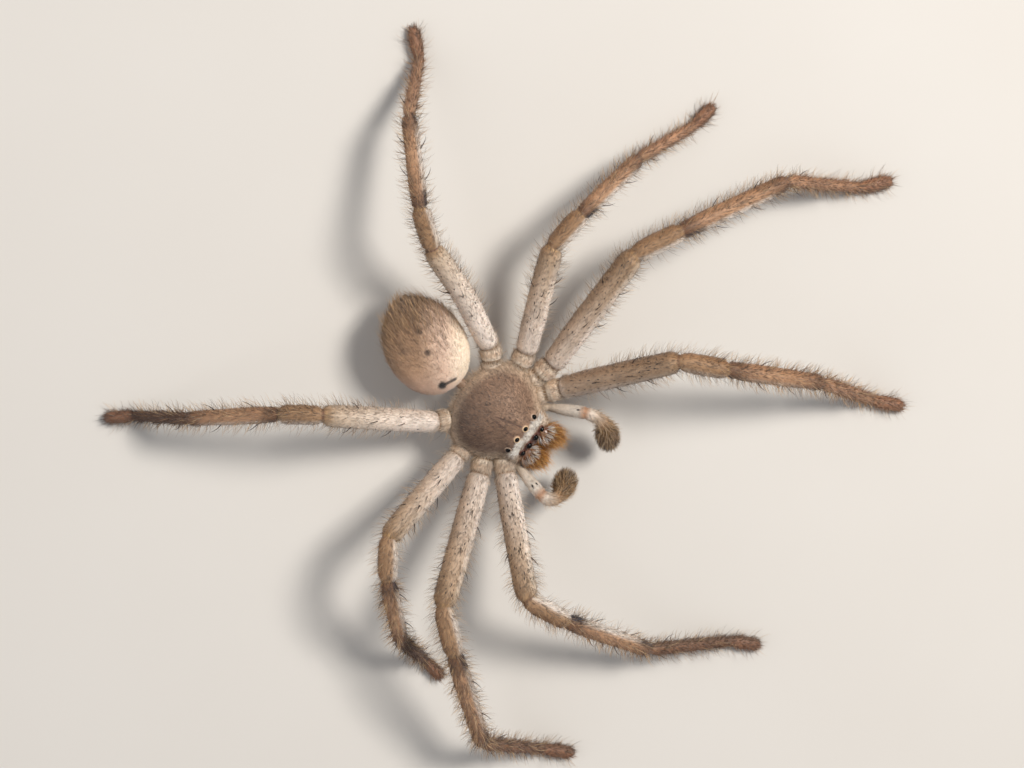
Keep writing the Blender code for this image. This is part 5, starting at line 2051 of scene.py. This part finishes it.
@dataclass
class Spider:
    """The whole animal: its parts in order, dressed."""

    shop: Workshop
    effects: Effects

    def finishes(self) -> list[Material]:
        """Materials of the skin.

        Returns:
            One for each cover, in their order.
        """
        return [
            Finish("shield skin", along=4.0, across=14.0, bump=0.6, grain=0.2, sheen=0.25, dot_scale=1.6,
                   dot_size=0.1).build(self.effects),
            Finish("limb skin", along=3.0, across=14.0, bump=0.5, grain=0.2, sheen=0.15, subsurface=0.1,
                   dot_scale=1.3, dot_size=0.09).build(self.effects),
            Finish("hind body skin", along=3.0, across=12.0, bump=0.5, grain=0.14, sheen=0.25,
                   subsurface=0.1).build(self.effects),
            Finish("jaw skin", roughness=0.35, coat=0.3, grain=0.25, bump=0.3).build(self.effects),
            Finish("eye rim", roughness=0.45, grain=0.1, bump=0.2).build(self.effects),
        ]

    def build(self) -> None:
        """Make every piece."""
        skins = self.finishes()
        fur = Finish("leg fur", roughness=0.5, specular=0.4, sheen=0.2, grain=0.1, along=3.0, across=14.0,
                     dot_scale=1.3, dot_size=0.09).build(self.effects)
        shield_fur = Finish("shield fur", roughness=0.5, specular=0.4, sheen=0.25, grain=0.1, along=4.0,
                            across=14.0, dot_scale=1.6, dot_size=0.1).build(self.effects)
        hind_fur = Finish("hind body fur", roughness=0.5, specular=0.4, sheen=0.2, grain=0.06, along=3.0,
                          across=12.0).build(self.effects)
        bristle = Finish("jaw bristle", roughness=0.38, specular=0.5, grain=0.1).build(self.effects)
        horn = Gloss("spine horn", (34, 24, 20), (58, 42, 34), 0.35, 0.2).build()
        fang_horn = Gloss("fang horn", (40, 14, 10), (78, 30, 18), 0.2, 0.6).build()
        lens = Gloss("eye lens", (2, 2, 2), (5, 4, 5), 0.05, 0.0, specular=0.22).build()

        head = FrontBody()
        shield = head.skin((0.0, 0.0, 0.4, 0.5))
        eyes = Eyes()
        jaws = Jaws(head)
        jaw_skins = [jaws.skin(side, (0.4 + 0.15 * i, 0.0, 0.54 + 0.15 * i, 0.2))
                     for i, side in enumerate(Side)]
        hind = HindBody()
        egg = hind.egg((0.42, 0.22, 0.7, 0.5))
        feelers = [Feeler(side, joints) for side, joints in PALPS.items()]
        feeler_skins = [feeler.skin((0.72 + 0.14 * i, 0.0, 0.85 + 0.14 * i, 0.5))
                        for i, feeler in enumerate(feelers)]
        legs = [Leg(side, pair) for side in Side for pair in LEG_SIZES]
        leg_skins = [leg.skin((0.125 * i, 0.52, 0.125 * i + 0.12, 1.0)) for i, leg in enumerate(legs)]
        small = [*eyes.rims(self.shop.offset, shield), *hind.small_parts()]
        for i, patch in enumerate(small):
            patch.window = (0.72 + 0.02 * i, 0.505, 0.735 + 0.02 * i, 0.515)
        parts = [shield, *small, *jaw_skins, egg, *feeler_skins, *leg_skins]
        skin = self.shop.patches("skin", parts, skins)
        flesh = ["prosoma", "abdomen"] + [f"chelicera_{side.label}" for side in Side]
        flesh += [f"palp_{side.label}_{piece}" for side in Side for piece in ("femur", "tibia", "cymbium")]
        flesh += [f"{leg.name}_{piece}" for leg in legs for piece in LEG_PIECES]
        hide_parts(*flesh)

        for index, (leg, patch) in enumerate(zip(legs, leg_skins)):
            patch.window = WHOLE_MAP
            leg.coat(patch, fur, 10 + index).build(self.shop)
        shield.window = egg.window = WHOLE_MAP
        centres = list(eyes.centres(self.shop.offset).values())
        head.coat(shield, centres, shield_fur, 30).build(self.shop)
        hind.coat(egg, hind_fur, 31).build(self.shop)
        for i, patch in enumerate(jaw_skins):
            patch.window = (0.5 * i, 0.0, 0.5 * i + 0.49, 1.0)
        jaws.coat(jaw_skins, bristle, 32).build(self.shop)
        for index, (feeler, patch) in enumerate(zip(feelers, feeler_skins)):
            patch.window = WHOLE_MAP
            feeler.coat(patch, fur, 33 + index).build(self.shop)

        eyes.build(self.shop, lens)
        thorns = [path for leg in legs for path in leg.spine_paths()]
        Horns("spines", "foot", horn).build(self.shop, thorns, 0.065)
        claws = [path for leg in legs for path in leg.claw_paths()]
        Horns("claws", "fang", horn).build(self.shop, claws, 0.06)
        for side in Side:
            fang = Horns(f"fang_{side.label}_hook", "fang", fang_horn, corners=16)
            item = fang.build(self.shop, [jaws.fang_path(side)], jaws.fang_radius, blunt=0.12)
            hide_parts(f"fang_{side.label}")


def frame_offset(head: FrontBody, middle_eye_y: float = -4.03) -> Array:
    """Where the spider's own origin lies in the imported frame.

    The middle of the two front middle eyes is on the head's own midline, at a known place.

    Args:
        head: Gives the turn of the head.
        middle_eye_y: Y of those eyes in the head's own frame.

    Returns:
        The shift in millimetres, level with the floor.
    """
    corners = [np.array(corner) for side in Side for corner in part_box(f"eye_{side.label}_anterior_median")]
    middle = np.mean(corners, axis=0) / MM
    known = head.place_head(np.array([0.0, middle_eye_y, 0.0]))
    return np.array([middle[0] - known[0], middle[1] - known[1], 0.0])


def main() -> None:
    """Load the frame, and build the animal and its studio."""
    logging.basicConfig(level=logging.INFO, format="%(message)s")
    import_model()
    shop = Workshop(frame_offset(FrontBody()))
    Spider(shop, Effects()).build()
    Studio().build(shop)


if __name__ == "__main__":
    main()
